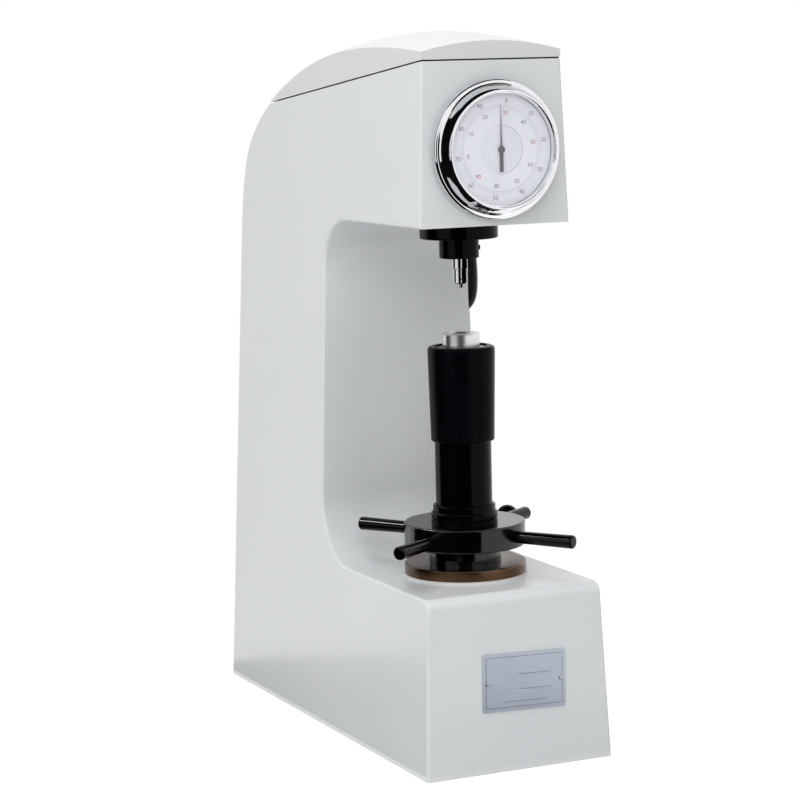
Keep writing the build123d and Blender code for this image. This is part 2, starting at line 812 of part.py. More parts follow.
def handwheel_handles():
    """Tapered round handles, thicker at the outer end, each with a stub in the wheel."""
    start = disc_radius - handle_shoulder_depth
    length = handle_tip_reach - start
    grip = Pos(start + length / 2, 0, 0) * Rot(0, 90, 0) * Cone(handle_root_radius, handle_end_radius, length)
    grip = fillet(grip.edges().sort_by(Axis.X)[-1], handle_end_round)
    grip -= cylinder_z(disc_radius + handle_rim_gap, -disc_radius, disc_radius)
    stub = cylinder_x(handle_root_radius - running, disc_radius - handle_socket_depth, disc_radius + past,
                      0, 0)
    return [place * (grip + stub) for place in handle_places()]


def sleeve_collar():
    """Two-step collar that carries the lower sleeve and turns with the wheel."""
    groove_z = disc_top_z + collar_groove_rise
    bore = nut_radius + running
    points = ((bore, disc_top_z), (collar_radius, disc_top_z), (collar_radius, groove_z),
              (collar_radius - collar_groove_depth, groove_z + collar_groove_height / 2),
              (collar_radius, groove_z + collar_groove_height), (collar_radius, collar_top_z - collar_bevel),
              (collar_radius - collar_bevel, collar_top_z), (collar_tier_radius, collar_top_z),
              (collar_tier_radius, tier_top_z - collar_tier_bevel),
              (collar_tier_radius - collar_tier_bevel, tier_top_z),
              (lower_sleeve_radius + running, tier_top_z),
              (lower_sleeve_radius + running, collar_floor_z), (bore, collar_floor_z))
    return turned(points, 0, spindle_y)


def lower_sleeve():
    inner = lower_sleeve_radius - lower_sleeve_wall
    tube = cylinder_z(lower_sleeve_radius, collar_floor_z, lower_sleeve_top_z, 0, spindle_y)
    tube = fillet(tube.edges().sort_by(Axis.Z)[-1], lower_sleeve_edge_radius)
    return tube - cylinder_z(inner, collar_floor_z - past, lower_sleeve_top_z + past, 0, spindle_y)


def outer_sleeve():
    """Slightly flared sleeve, hung from its inner lip on the cap."""
    top, bottom = outer_sleeve_top_z, outer_sleeve_bottom_z
    edge, bulge = outer_sleeve_edge, outer_sleeve_edge * outer_sleeve_edge_bulge
    bevel = outer_sleeve_bottom_bevel
    lip = outer_sleeve_bore - sleeve_lip_width
    points = ((outer_sleeve_bore, bottom), (outer_sleeve_bottom_radius - bevel, bottom),
              (outer_sleeve_bottom_radius, bottom + bevel),
              (outer_sleeve_top_radius, top - edge - outer_sleeve_band),
              (outer_sleeve_top_radius, top - edge), (outer_sleeve_top_radius - bulge, top - bulge),
              (outer_sleeve_top_radius - edge, top), (lip, top), (lip, cap_top_z),
              (outer_sleeve_bore, cap_top_z))
    return turned(points, 0, spindle_y)


def sleeve_cap():
    """Flat washer, clamped between screw and socket, that carries the outer sleeve."""
    bottom = cap_top_z - cap_thickness
    disc = cylinder_z(outer_sleeve_bore, bottom, cap_top_z, 0, spindle_y)
    return disc - cylinder_z(socket_stem_radius + running, bottom - past, cap_top_z + past, 0, spindle_y)


def elevating_screw():
    top = cap_top_z - cap_thickness
    pocket = socket_top_z - socket_depth - socket_stem_floor - past
    shaft = cylinder_z(screw_radius, screw_bottom_z, top, 0, spindle_y)
    rims = shaft.edges().group_by(Axis.Z)
    shaft = chamfer(rims[0] + rims[-1], screw_end_bevel)
    shaft -= cylinder_z(socket_stem_radius + running, pocket, top + past, 0, spindle_y)
    return shaft - block((screw_radius - keyway_depth, screw_radius + past), key_range(key_side_clearance),
                         (screw_bottom_z - past, top - keyway_end))


def anvil_socket():
    """Hardened seat on top of the screw, bored to take the stem of an anvil."""
    head = cylinder_z(socket_radius, cap_top_z, socket_top_z, 0, spindle_y)
    head = chamfer(head.edges().sort_by(Axis.Z)[-1], socket_edge_bevel)
    floor = socket_top_z - socket_depth
    stem = cylinder_z(socket_stem_radius, floor - socket_stem_floor, cap_top_z, 0, spindle_y)
    bore = cylinder_z(socket_bore, floor, socket_top_z + past, 0, spindle_y)
    mouth = Cone(socket_bore, socket_bore + socket_mouth_bevel, socket_mouth_bevel)
    return head + stem - bore - Pos(0, spindle_y, socket_top_z - socket_mouth_bevel / 2) * mouth


# ---------------------------------------------------------------- spindle line
def flange_screw_places():
    step = 360 / flange_screw_count
    return [Pos(0, spindle_y, head_bottom_z) * Rot(0, 0, step * (i + 0.5)) * Pos(flange_screw_circle, 0, 0)
            for i in range(flange_screw_count)]


def guard_groove():
    """Ring-shaped slot in the hub that takes the guard's root."""
    low, high = hub_bottom_z - past, hub_bottom_z + guard_root_height
    inner = guard_top_radius - guard_thickness - running
    groove = cylinder_z(guard_top_radius + running, low, high, 0, spindle_y)
    return groove - cylinder_z(inner, low - past, high + past, 0, spindle_y)


def spindle_flange():
    body = cylinder_z(flange_radius, flange_bottom_z, head_bottom_z, 0, spindle_y)
    body = fillet(body.edges().sort_by(Axis.Z)[0], flange_edge_radius)
    hub = cylinder_z(hub_radius, hub_bottom_z, flange_bottom_z, 0, spindle_y)
    body += fillet(hub.edges().sort_by(Axis.Z)[0], hub_edge_radius)
    body += cylinder_z(flange_sleeve_radius, head_bottom_z, flange_sleeve_top_z, 0, spindle_y)
    body -= cylinder_z(spindle_radius + running, hub_bottom_z - past, flange_sleeve_top_z + past,
                       0, spindle_y)
    body -= guard_groove()
    body -= guard_frame() * cylinder_x(guard_screw_radius + running, guard_top_radius, hub_radius + past, 0,
                                       guard_screw_z)
    seat_z = flange_screw_sink + flange_screw_head_height - flange_thickness
    for place in flange_screw_places():
        body -= place * cylinder_z(flange_screw_radius, -flange_thickness - past, past)
        body -= place * cylinder_z(flange_screw_head, -flange_thickness - past, seat_z)
    return body


def flange_screws():
    """Socket-head screws sunk in the flange's underside."""
    bottom = flange_screw_sink - flange_thickness
    top = bottom + flange_screw_head_height
    head = cylinder_z(flange_screw_head - seat / 2, bottom, top)
    head -= Pos(0, 0, bottom) * extrude(RegularPolygon(flange_screw_key, 6), amount=flange_screw_key_depth)
    screw = head + cylinder_z(flange_screw_radius, top, wall / 2)
    return [place * screw for place in flange_screw_places()]


def guard_frame():
    return Pos(0, spindle_y, 0) * Rot(0, 0, guard_azimuth)


def indenter_guard():
    """Bullet-shaped hood, cut away on one side so that the indenter can be watched."""
    root_top = hub_bottom_z + guard_root_height
    root_z = hub_bottom_z - past
    inner_radius = guard_top_radius - guard_thickness
    tip = (guard_cut + guard_tip_overhang, guard_tip_z)
    inner_tip = (tip[0] - guard_tip_width, guard_tip_z + guard_tip_rise)
    outline = [Line((guard_top_radius, root_top), (guard_top_radius, root_z)),
               Spline((guard_top_radius, root_z), (guard_belly_radius, guard_belly_z), tip,
                      tangents=((guard_side_lean, -1), (-1, -guard_nose_rise))),
               Line(tip, inner_tip),
               Spline(inner_tip, (guard_belly_radius - guard_thickness, guard_belly_z),
                      (inner_radius, root_z),
                      tangents=((1, guard_nose_rise), (-guard_side_lean, 1))),
               Line((inner_radius, root_z), (inner_radius, root_top)),
               Line((inner_radius, root_top), (guard_top_radius, root_top))]
    shell = revolve(Plane.XZ * make_face(Wire(Curve() + outline)), Axis.Z)
    return guard_frame() * (shell & block((guard_cut, beyond), (-beyond, beyond), (0, sky_z)))


def guard_screw():
    shank = hub_radius - guard_top_radius - guard_screw_end_gap
    head_radius = guard_screw_radius + guard_screw_head_step
    screw = pan_screw(guard_screw_radius, head_radius, guard_screw_head_height, shank)
    return guard_frame() * Pos(hub_radius, 0, guard_screw_z) * Rot(0, 90, 0) * screw


def spindle():
    shaft = cylinder_z(spindle_radius, spindle_shoulder_z, spindle_top_z, 0, spindle_y)
    shaft = chamfer(shaft.edges().group_by(Axis.Z)[0], spindle_bevel)
    bore_top = spindle_shoulder_z + holder_stem_length + past
    return shaft - cylinder_z(holder_stem_radius, spindle_shoulder_z - past, bore_top, 0, spindle_y)


def set_screw_z():
    return holder_bottom_z + indenter_stem_height / 2


def indenter_holder():
    nose = cylinder_z(holder_radius, holder_bottom_z, spindle_shoulder_z, 0, spindle_y)
    nose = chamfer(nose.edges().sort_by(Axis.Z)[0], holder_bevel)
    nose += cylinder_z(holder_stem_radius - running, spindle_shoulder_z,
                       spindle_shoulder_z + holder_stem_length, 0, spindle_y)
    nose -= cylinder_z(indenter_radius, holder_bottom_z - past, holder_bottom_z + indenter_stem_height,
                       0, spindle_y)
    return nose - cylinder_y(set_screw_radius + running, spindle_y - holder_radius - past,
                             spindle_y - indenter_radius, 0, set_screw_z())


def indenter():
    """Conical diamond point on a round shank."""
    radius = indenter_radius - running / 2
    cone_top = indenter_tip_z + radius / math.tan(math.radians(indenter_cone_angle / 2))
    shank_top = holder_bottom_z + indenter_stem_height - indenter_top_gap
    points = ((0, indenter_tip_z), (radius, cone_top), (radius, shank_top), (0, shank_top))
    return turned(points, 0, spindle_y)


def indenter_set_screw():
    front = spindle_y - holder_radius + set_screw_sink
    return cylinder_y(set_screw_radius, front, spindle_y - indenter_radius, 0, set_screw_z())


def spindle_tappet():
    """Arm clamped on the spindle that works the measuring lever."""
    low = tappet_top_z - tappet_thickness
    arm = block((measuring_x - measuring_thickness, 0),
                (spindle_y - tappet_half_width, spindle_y + tappet_half_width), (low, tappet_top_z))
    arm += cylinder_z(tappet_hub_radius, low, tappet_top_z, 0, spindle_y)
    return arm - cylinder_z(spindle_radius, low - past, tappet_top_z + past, 0, spindle_y)


# ---------------------------------------------------------------- levers
def knife(half_length, y, apex_z, up):
    """Three-sided hardened bar along X with its edge at the apex."""
    direction = -1 if up else 1
    far = apex_z + direction * knife_size
    face = make_face(Polyline((y, apex_z), (y - knife_size / 2, far), (y + knife_size / 2, far), close=True))
    return extrude(Plane.YZ * face, amount=half_length, both=True)


def fulcrum_knife():
    return knife(cheek_outer_x, fulcrum_y, lever_axis_z, True)


def spindle_knife():
    return knife(lever_half_width, spindle_y, spindle_top_z + seat, False)


def hanger_knife():
    return knife(stirrup_inner_x + stirrup_thickness, hanger_y, lever_axis_z, True)


def lever_knives():
    """The lever's three knives: at the fulcrum, over the spindle and under the hanger."""
    return [fulcrum_knife(), spindle_knife(), hanger_knife()]


def main_lever():
    """Beam of I-section between the spindle and the hanger."""
    along = (fulcrum_y - lever_front_margin, hanger_y + lever_rear_margin)
    beam = block((-lever_half_width, lever_half_width), along, (lever_bottom_z, lever_top_z))
    beam = fillet(beam.edges().filter_by(Axis.X), lever_corner_radius)
    for side in (-1, 1):
        x = sorted((side * (lever_half_width + past), side * lever_web_half_width))
        beam -= block(x, (spindle_y + lever_recess_front, hanger_y - lever_recess_rear),
                      (lever_bottom_z + lever_flange, lever_top_z - lever_flange))
    return beam - fulcrum_knife() - spindle_knife() - hanger_knife()


def bearing_window(y):
    """Opening around a knife: a flat V above its edge and room for it to tilt below."""
    apex = lever_axis_z + seat
    half = knife_size / 2 + window_side
    shoulder = apex - half * window_slope
    bottom = apex - knife_size - window_drop
    points = ((y, apex), (y + half, shoulder), (y + half, bottom), (y - half, bottom), (y - half, shoulder))
    return extrude(Plane.YZ * make_face(Polyline(*points, close=True)), amount=beyond, both=True)


def fulcrum_bracket():
    """U-shaped bracket on the head's floor whose cheeks hold the fulcrum knife down."""
    bracket = block((-bracket_half_width, bracket_half_width),
                    (fulcrum_y - bracket_front, spindle_y + bracket_rear), (head_floor_z, bracket_top_z))
    for side in (-1, 1):
        x = sorted((side * cheek_inner_x, side * cheek_outer_x))
        bracket += block(x, (fulcrum_y - cheek_front, fulcrum_y + cheek_rear),
                         (bracket_top_z - past, lever_top_z + cheek_rise))
    bracket -= bearing_window(fulcrum_y)
    bracket -= cylinder_z(flange_sleeve_radius + seat, head_floor_z - past, bracket_top_z + past, 0,
                          spindle_y)
    bracket -= cylinder_x(measuring_pin_radius, -beyond, past - cheek_inner_x, measuring_pivot_y,
                          measuring_pivot_z)
    hole = cylinder_z(inner_screw_radius + running, -bracket_thickness - past, past)
    return bracket - [place * hole for place in bracket_screw_places()]


def bracket_screw_places():
    return [Pos(x, spindle_y + y, bracket_top_z) for x in (-bracket_screw_x, bracket_screw_x)
            for y in bracket_screw_y]


def head_screws():
    """Equal screws that hold the fulcrum bracket and the dial case inside the head."""
    screw = pan_screw(inner_screw_radius, inner_screw_head, inner_screw_head_height, inner_screw_shank)
    return [place * screw for place in bracket_screw_places() + case_screw_places()]


def measuring_lever():
    """Bell crank that turns the spindle's rise into a push on the dial's plunger."""
    y, z = measuring_pivot_y, measuring_pivot_z
    half = measuring_half_depth
    x = (measuring_x - measuring_thickness / 2, measuring_x + measuring_thickness / 2)
    lever = cylinder_x(measuring_hub_radius, *x, y, z)
    lever += block(x, (y, spindle_y + measuring_reach), (z - half, z + half))
    lever += block(x, (y - half, y + half), (z, plunger_z + measuring_overlap))
    return lever - cylinder_x(measuring_pin_radius + running, x[0] - past, x[1] + past, y, z)


def measuring_lever_pin():
    y, z = measuring_pivot_y, measuring_pivot_z
    head_right = measuring_x - measuring_thickness / 2 - measuring_pin_gap
    head = cylinder_x(measuring_pin_head_radius, head_right - measuring_pin_head_thickness, head_right, y, z)
    return head + cylinder_x(measuring_pin_radius, head_right - past, -cheek_inner_x, y, z)


# ---------------------------------------------------------------- dial
def dial_case():
    """Fixed case of the indicator: its front rim carries the bezel, its flange sits inside the head."""
    case = cylinder_y(case_radius, case_front_y, case_back_y, 0, dial_z)
    case += cylinder_y(case_flange_radius, case_seat_y, case_seat_y + case_flange_thickness, 0, dial_z)
    back_wall = case_back_y - case_wall
    case -= cylinder_y(case_radius - case_wall, case_front_y + case_front_web, back_wall, 0, dial_z)
    case += block((-bridge_half_width, bridge_half_width), (case_back_y - bridge_depth, back_wall + past),
                  (dial_z - bridge_half_width, dial_z + bridge_half_width))
    case -= cylinder_y(arbor_radius + running / 2, case_front_y - past, case_back_y - arbor_hole_end, 0,
                       dial_z)
    case -= cylinder_y(plunger_radius + running, case_back_y - 2 * case_wall, case_back_y + past, measuring_x,
                       plunger_z)
    hole = cylinder_z(inner_screw_radius + running, -case_flange_thickness - past, past)
    return case - [place * hole for place in case_screw_places()]


def case_screw_places():
    radius = (case_flange_radius + case_radius) / 2
    rear = case_seat_y + case_flange_thickness
    step = 360 / case_screw_count
    middle = Pos(0, rear, dial_z) * Rot(-90, 0, 0)
    return [middle * Rot(0, 0, case_screw_first_angle + step * i) * Pos(radius, 0, 0)
            for i in range(case_screw_count)]


def dial_bezel():
    """Chromed ring that turns on the case to bring the scale's zero under the pointer."""
    rear, front = bezel_rear_y, bezel_front_y
    rim, opening = bezel_radius, bezel_opening_radius
    bore = case_radius + running
    pocket = face_radius + seat
    step = (rim - bezel_step_radius, rear - bezel_band - bezel_step_radius)
    waist = (rim - bezel_waist[0], rear - bezel_waist[1])
    lip = (opening + bezel_lip[0], front + bezel_lip[1])
    outline = [Line((bore, rear), (rim - bezel_rim_radius, rear)),
               RadiusArc((rim - bezel_rim_radius, rear), (rim, rear - bezel_rim_radius), bezel_rim_radius),
               Line((rim, rear - bezel_rim_radius), (rim, rear - bezel_band)),
               RadiusArc((rim, rear - bezel_band), step, bezel_step_radius),
               Spline(step, waist, lip, tangents=((-1, -0.2), (-0.6, -1))),
               ThreePointArc(lip, (opening + bezel_lip[0] / 2, front), (opening, front + bezel_lip_drop)),
               Polyline((opening, front + bezel_lip_drop), (opening, glass_front_y), (pocket, glass_front_y),
                        (pocket, case_front_y), (bore, case_front_y), (bore, rear))]
    ring = revolve(Plane.XY * make_face(Wire(Curve() + outline)), Axis.Y)
    return Pos(0, 0, dial_z) * ring


def dial_glass():
    radius = face_radius + seat - glass_edge_gap / 2
    return cylinder_y(radius, glass_front_y, glass_front_y + glass_thickness, 0, dial_z)


def dial_face():
    rear = face_front_y + face_thickness
    disc = cylinder_y(face_radius, face_front_y, rear, 0, dial_z)
    return disc - cylinder_y(arbor_radius + face_hole_margin, face_front_y - past, rear + past, 0, dial_z)


def dial_pointer():
    """Tapered hand with a broad tail, pressed on the arbor's tip."""
    root, tip, tail = pointer_root_half_width, pointer_tip_half_width, pointer_tail_half_width
    right = [(tip, pointer_length), (root, 0), (tail, -pointer_shoulder), (tail, -pointer_tail)]
    left = [(-x, z) for x, z in reversed(right)]
    hand = extrude(Plane.XZ * make_face(Polyline(*right, *left, close=True)), amount=pointer_thickness)
    boss_front = pointer_rear_y - pointer_thickness - pointer_boss_height
    hand = Pos(0, pointer_rear_y, dial_z) * hand
    hand += cylinder_y(pointer_boss_radius, boss_front, pointer_rear_y, 0, dial_z)
    return hand - cylinder_y(arbor_tip_radius, boss_front - past, pointer_rear_y + past, 0, dial_z)


def pointer_arbor():
    """Shaft that carries the pointer in front and a gear blank inside the case."""
    shoulder = pointer_rear_y + arbor_step_gap
    gear_front, gear_rear = [case_back_y - depth for depth in arbor_gear_place]
    tip_front = pointer_rear_y - pointer_thickness - pointer_boss_height
    arbor = cylinder_y(arbor_radius, shoulder, case_back_y - arbor_rear_end, 0, dial_z)
    arbor += cylinder_y(arbor_tip_radius, tip_front, shoulder + past, 0, dial_z)
    return arbor + cylinder_y(arbor_gear_radius, gear_front, gear_rear, 0, dial_z)


def dial_plunger():
    rear = measuring_pivot_y - measuring_half_depth - seat
    rod = cylinder_y(plunger_radius, case_back_y - plunger_depth, rear, measuring_x, plunger_z)
    head_radius = plunger_radius + plunger_head_step
    return rod + cylinder_y(head_radius, rear - plunger_head_thickness, rear, measuring_x, plunger_z)


# ---------------------------------------------------------------- hanger and weights
def hanger_stirrup():
    """Two side plates that hang on the knife, joined below the lever."""
    y = (hanger_y - stirrup_half_depth, hanger_y + stirrup_half_depth)
    floor_top = stirrup_z + stirrup_floor
    floor_half = stirrup_inner_x + stirrup_lap
    stirrup = block((-floor_half, floor_half), y, (stirrup_z, floor_top))
    for side in (-1, 1):
        x = sorted((side * stirrup_inner_x, side * (stirrup_inner_x + stirrup_thickness)))
        stirrup += block(x, y, (stirrup_z, lever_axis_z + stirrup_rise))
    stirrup -= bearing_window(hanger_y)
    return stirrup - cylinder_z(hanger_stud_radius, stirrup_z - past, floor_top + past, 0, hanger_y)


def hanger_rod():
    """Rod below the stirrup with the plate that carries the weights."""
    plate_top = hanger_plate_z + hanger_plate_thickness
    rod = cylinder_z(hanger_rod_radius, plate_top - past, stirrup_z, 0, hanger_y)
    rod += cylinder_z(hanger_stud_radius - running, stirrup_z - past, stirrup_z + stirrup_floor, 0, hanger_y)
    return rod + cylinder_z(hanger_plate_radius, hanger_plate_z, plate_top, 0, hanger_y)


def weight(bottom, height):
    disc = cylinder_z(weight_radius, bottom, bottom + height, 0, hanger_y)
    rims = disc.edges().group_by(Axis.Z)
    disc = chamfer(rims[0] + rims[-1], weight_bevel)
    return disc - cylinder_z(hanger_rod_radius + seat, bottom - past, bottom + height + past, 0, hanger_y)


def weights():
    pieces = {}
    bottom = hanger_plate_z + hanger_plate_thickness
    for name, height in weight_heights.items():
        pieces[name] = weight(bottom, height)
        bottom += height
    return pieces


# ---------------------------------------------------------------- operating lever, lift rod, dashpot
def operating_shaft():
    """Cross shaft with a crank disc inside the stand."""
    crank_outer = crank_inner_x + crank_thickness
    shaft = cylinder_x(operating_shaft_radius, crank_outer - past, arm_outer_x, operating_y, operating_z)
    crank_disc_radius = crank_radius + crank_pin_radius + crank_rim
    disc = cylinder_x(crank_disc_radius, crank_inner_x, crank_outer, operating_y, operating_z)
    return shaft + disc + cylinder_x(crank_pin_radius, -yoke_half_width, crank_inner_x + past, pin_y, pin_z)


def bush_outside(z):
    """Where a bush's flange seats against the leaning right-hand wall."""
    return half_width(z) + side_draft * bush_flange_radius


def wall_bush(y, z, bore):
    """Flanged bush through the right-hand wall."""
    outside = bush_outside(z)
    bush = cylinder_x(bush_radius, half_width(z) - 2 * wall, outside + past, y, z)
    bush += cylinder_x(bush_flange_radius, outside, outside + bush_flange_thickness, y, z)
    return bush - cylinder_x(bore + running, 0, beyond, y, z)


def shaft_bushes():
    return [wall_bush(operating_y, operating_z, operating_shaft_radius),
            wall_bush(selector_y, selector_z, selector_shaft_radius)]


def arm_place():
    """Frame of the operating arm: its Z runs from the shaft to the knob."""
    angle = math.atan2(knob_centre[1] - operating_y, knob_centre[2] - operating_z)
    return Pos(0, operating_y, operating_z) * Rot(-math.degrees(angle), 0, 0)


def knob_stud():
    """Stud at the arm's end, which the knob is screwed on."""
    bottom = arm_length - knob_radius - arm_end_gap - stud_sink
    return cylinder_z(stud_radius, bottom, arm_length - stud_end, knob_centre[0], 0)


def operating_arm():
    """Flat arm on the end of the shaft, with a hub that reaches in to the bush and a stud for the knob."""
    hub_left = bush_outside(operating_z) + bush_flange_thickness + seat
    arm = block((arm_inner_x, arm_outer_x), (-arm_half_width, arm_half_width),
                (0, arm_length - knob_radius - arm_end_gap))
    arm += cylinder_x(arm_hub_radius, hub_left, arm_outer_x + arm_hub_step, 0, 0)
    arm += knob_stud()
    return arm_place() * (arm - cylinder_x(operating_shaft_radius, 0, beyond, 0, 0))


def operating_knob():
    """Ball knob with a flat where it meets the arm."""
    ball = Pos(knob_centre[0], 0, arm_length) * Sphere(knob_radius)
    around = (knob_centre[0] - beyond, knob_centre[0] + beyond)
    ball -= block(around, (-beyond, beyond), (0, arm_length - knob_radius + knob_flat))
    return arm_place() * (ball - knob_stud())


def dashpot_piston():
    top = piston_z + piston_thickness
    disc = cylinder_z(dashpot_bore - running, piston_z, top, 0, lift_y)
    port = cylinder_z(port_radius, piston_z - past, top + past, port_circle_radius, 0)
    return disc - [Pos(0, lift_y, 0) * Rot(0, 0, 360 / port_count * i) * port for i in range(port_count)]


def lift_rod():
    """Rod that holds the main lever up until the operating lever lowers it, with its yoke."""
    yoke = block((-yoke_half_width, yoke_half_width), (lift_y - yoke_half_depth, lift_y + yoke_half_depth),
                 (pin_z - yoke_half_height, pin_z + yoke_half_height))
    half = crank_pin_radius + yoke_clearance
    slot = block((-beyond, beyond), (pin_y - half - yoke_end_room, lift_y + half + yoke_end_room),
                 (pin_z - half, pin_z + half))
    rod = cylinder_z(lift_rod_radius, pin_z + yoke_half_height - past, lift_top_z, 0, lift_y)
    tail = cylinder_z(piston_rod_radius, piston_z, pin_z - yoke_half_height + past, 0, lift_y)
    return yoke + rod + tail + dashpot_piston() - slot


def lift_rod_guide(z):
    """Bored arm on the throat's wall."""
    low, high = z - guide_thickness / 2, z + guide_thickness / 2
    arm = block((-guide_half_width, guide_half_width), (throat_wall_y + wall, lift_y), (low, high))
    arm += cylinder_z(guide_half_width, low, high, 0, lift_y)
    return arm - cylinder_z(lift_rod_radius + running, low - past, high + past, 0, lift_y)


def lift_rod_guides():
    return [lift_rod_guide(z) for z in guide_heights]


def dashpot_cylinder():
    pot = cylinder_z(dashpot_radius, floor_thickness, dashpot_top_z, 0, lift_y)
    return pot - cylinder_z(dashpot_bore, floor_thickness + dashpot_floor, dashpot_top_z + past, 0, lift_y)


def dashpot_cap():
    top = dashpot_top_z + dashpot_cap_thickness
    cap = cylinder_z(dashpot_radius, dashpot_top_z, top, 0, lift_y)
    return cap - cylinder_z(piston_rod_radius + running, dashpot_top_z - past, top + past, 0, lift_y)


# ---------------------------------------------------------------- load selector
def selector_outer_x():
    return bush_outside(selector_z) + bush_flange_thickness + selector_gap


def selector_shaft():
    """Cross shaft with two cams, a half turn apart."""
    end = selector_outer_x() + selector_knob_thickness - selector_hole_end
    shaft = cylinder_x(selector_shaft_radius, selector_inner_x, end, selector_y, selector_z)
    for i, offset in enumerate((cam_offset, -cam_offset)):
        left = selector_inner_x + cam_gap + i * (cam_thickness + cam_gap)
        shaft += cylinder_x(cam_radius, left, left + cam_thickness, selector_y, selector_z + offset)
    return shaft


def selector_knob():
    """Fluted hand knob with a raised pointer bar."""
    left = selector_outer_x()
    right = left + selector_knob_thickness
    knob = cylinder_x(selector_knob_radius, left, right, selector_y, selector_z)
    knob = fillet(knob.edges().sort_by(Axis.X)[-1], selector_edge_radius)
    flute_y = selector_knob_radius + flute_stand_off
    flute = cylinder_x(flute_radius, left + flute_start, right + past, flute_y, 0)
    step = 360 / flute_count
    knob -= [Pos(0, selector_y, selector_z) * Rot(step * i, 0, 0) * flute for i in range(flute_count)]
    half, depth, height = grip_bar
    knob += block((right - depth, right + height), (selector_y - half, selector_y + half),
                  (selector_z - depth, selector_z + selector_knob_radius - grip_bar_inset))
    return knob - cylinder_x(selector_shaft_radius, left - past, right - selector_hole_end, selector_y,
                             selector_z)


# ---------------------------------------------------------------- export
def all_pieces():
    makers = (main_housing, top_cover, lid_gasket, rear_cover, rear_cover_screws, nameplate,
              nameplate_rivets, base_ring, screw_guide, guide_key, bearing_lower_race, bearing_upper_race,
              bearing_balls, bearing_cage, handwheel, lifting_nut, handwheel_handles, sleeve_collar,
              lower_sleeve, outer_sleeve, sleeve_cap, elevating_screw, anvil_socket, spindle_flange,
              flange_screws, indenter_guard, guard_screw, spindle, indenter_holder, indenter,
              indenter_set_screw, spindle_tappet, lever_knives, main_lever, fulcrum_bracket, head_screws,
              measuring_lever, measuring_lever_pin, dial_case, dial_bezel, dial_glass, dial_face,
              dial_pointer, pointer_arbor, dial_plunger, hanger_stirrup, hanger_rod, operating_shaft,
              shaft_bushes, operating_arm, operating_knob, lift_rod, lift_rod_guides, dashpot_cylinder,
              dashpot_cap, selector_shaft, selector_knob)
    pieces = {maker.__name__: maker() for maker in makers}
    pieces.update(weights())
    return pieces


def main():
    os.makedirs("parts", exist_ok=True)
    for name, shape in all_pieces().items():
        whole = Compound(children=list(shape)) if isinstance(shape, (list, ShapeList)) else shape
        whole.label = name
        export_step(whole, f"parts/{name}.step")


main()
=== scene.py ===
import json
import math

import bmesh
import bpy
from mathutils import Matrix, Vector


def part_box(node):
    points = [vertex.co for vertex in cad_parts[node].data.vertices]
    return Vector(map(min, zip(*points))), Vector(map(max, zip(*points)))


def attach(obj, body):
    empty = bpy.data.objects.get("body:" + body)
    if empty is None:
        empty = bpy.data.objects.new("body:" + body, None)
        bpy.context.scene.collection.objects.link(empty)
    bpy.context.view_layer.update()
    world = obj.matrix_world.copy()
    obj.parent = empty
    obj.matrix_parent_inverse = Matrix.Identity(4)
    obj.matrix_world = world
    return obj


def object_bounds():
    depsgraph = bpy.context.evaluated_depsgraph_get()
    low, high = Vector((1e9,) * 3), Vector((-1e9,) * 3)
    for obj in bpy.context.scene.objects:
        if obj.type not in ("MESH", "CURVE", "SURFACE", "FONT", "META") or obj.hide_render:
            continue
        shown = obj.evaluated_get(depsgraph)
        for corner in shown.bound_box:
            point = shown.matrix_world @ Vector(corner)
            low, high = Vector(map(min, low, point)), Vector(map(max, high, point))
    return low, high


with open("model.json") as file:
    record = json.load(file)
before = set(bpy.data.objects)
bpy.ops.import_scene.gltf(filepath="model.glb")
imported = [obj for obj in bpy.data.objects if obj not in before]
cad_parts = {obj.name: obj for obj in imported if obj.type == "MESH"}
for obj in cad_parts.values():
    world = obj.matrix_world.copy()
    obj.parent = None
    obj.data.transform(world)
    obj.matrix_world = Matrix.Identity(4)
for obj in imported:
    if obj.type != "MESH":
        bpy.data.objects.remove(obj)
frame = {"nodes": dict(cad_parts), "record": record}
cad_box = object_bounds()

# ---------------------------------------------------------------- camera, in metres and degrees
camera_place = (-0.99128, -2.16698, 0.61065)
camera_yaw = 24.547
camera_pitch = 7.513
camera_roll = -1.35
camera_lens = 116.49            # for a 36 mm wide sensor
sensor_width = 36.0

# ---------------------------------------------------------------- stage and lights
floor_size = 14.0
paper_near = 0.55               # the paper shows shadow up to here, and none beyond paper_far
paper_far = 1.5
paper_tone = 0.86               # what the paper bounces back
paper_glow = 0.72               # to the eye: an even share of white
paper_lit = 0.44                # and a share that takes the light and the shadow
sky_level = 0.34                # what the world adds to every surface
# name: place, width, height, power, and whether it is for reflections only
lamps = {
    "key": ((-2.6, -0.7, 1.5), 2.2, 2.2, 17.0, False),
    "overhead": ((-0.2, -0.4, 2.8), 2.0, 2.0, 42.0, False),
    "fill": ((-0.95, -1.7, 1.5), 1.2, 1.2, 13.0, False),
    "strip": ((-0.96, 0.28, 1.12), 0.6, 0.10, 11.0, True),
}
# what the strip shines on
strip_nodes = ("handwheel", "handwheel_handles", "operating_knob", "operating_arm")
# dark cards, seen in reflections only: start and end in degrees from the front, positive towards the
# left, then the radius, the lower edge and the upper edge
cards = ((4.0, 50.0, 2.2, 0.0, 0.95), (94.0, 132.0, 2.0, 0.0, 3.20))
table_span = (-5.0, 138.0, 0.30, 2.20)       # the same degrees, then the inner and the outer radius
card_middle = (0.0, -0.2)
ceiling_card = ((0.0, -0.2, 2.2), 1.4)       # middle and radius
table_card = ((-0.15, -0.15, 0.004), 0.42)
span_height = 0.005
card_tone = (0.004, 0.004, 0.005, 1.0)
card_steps = 16
disc_steps = 48

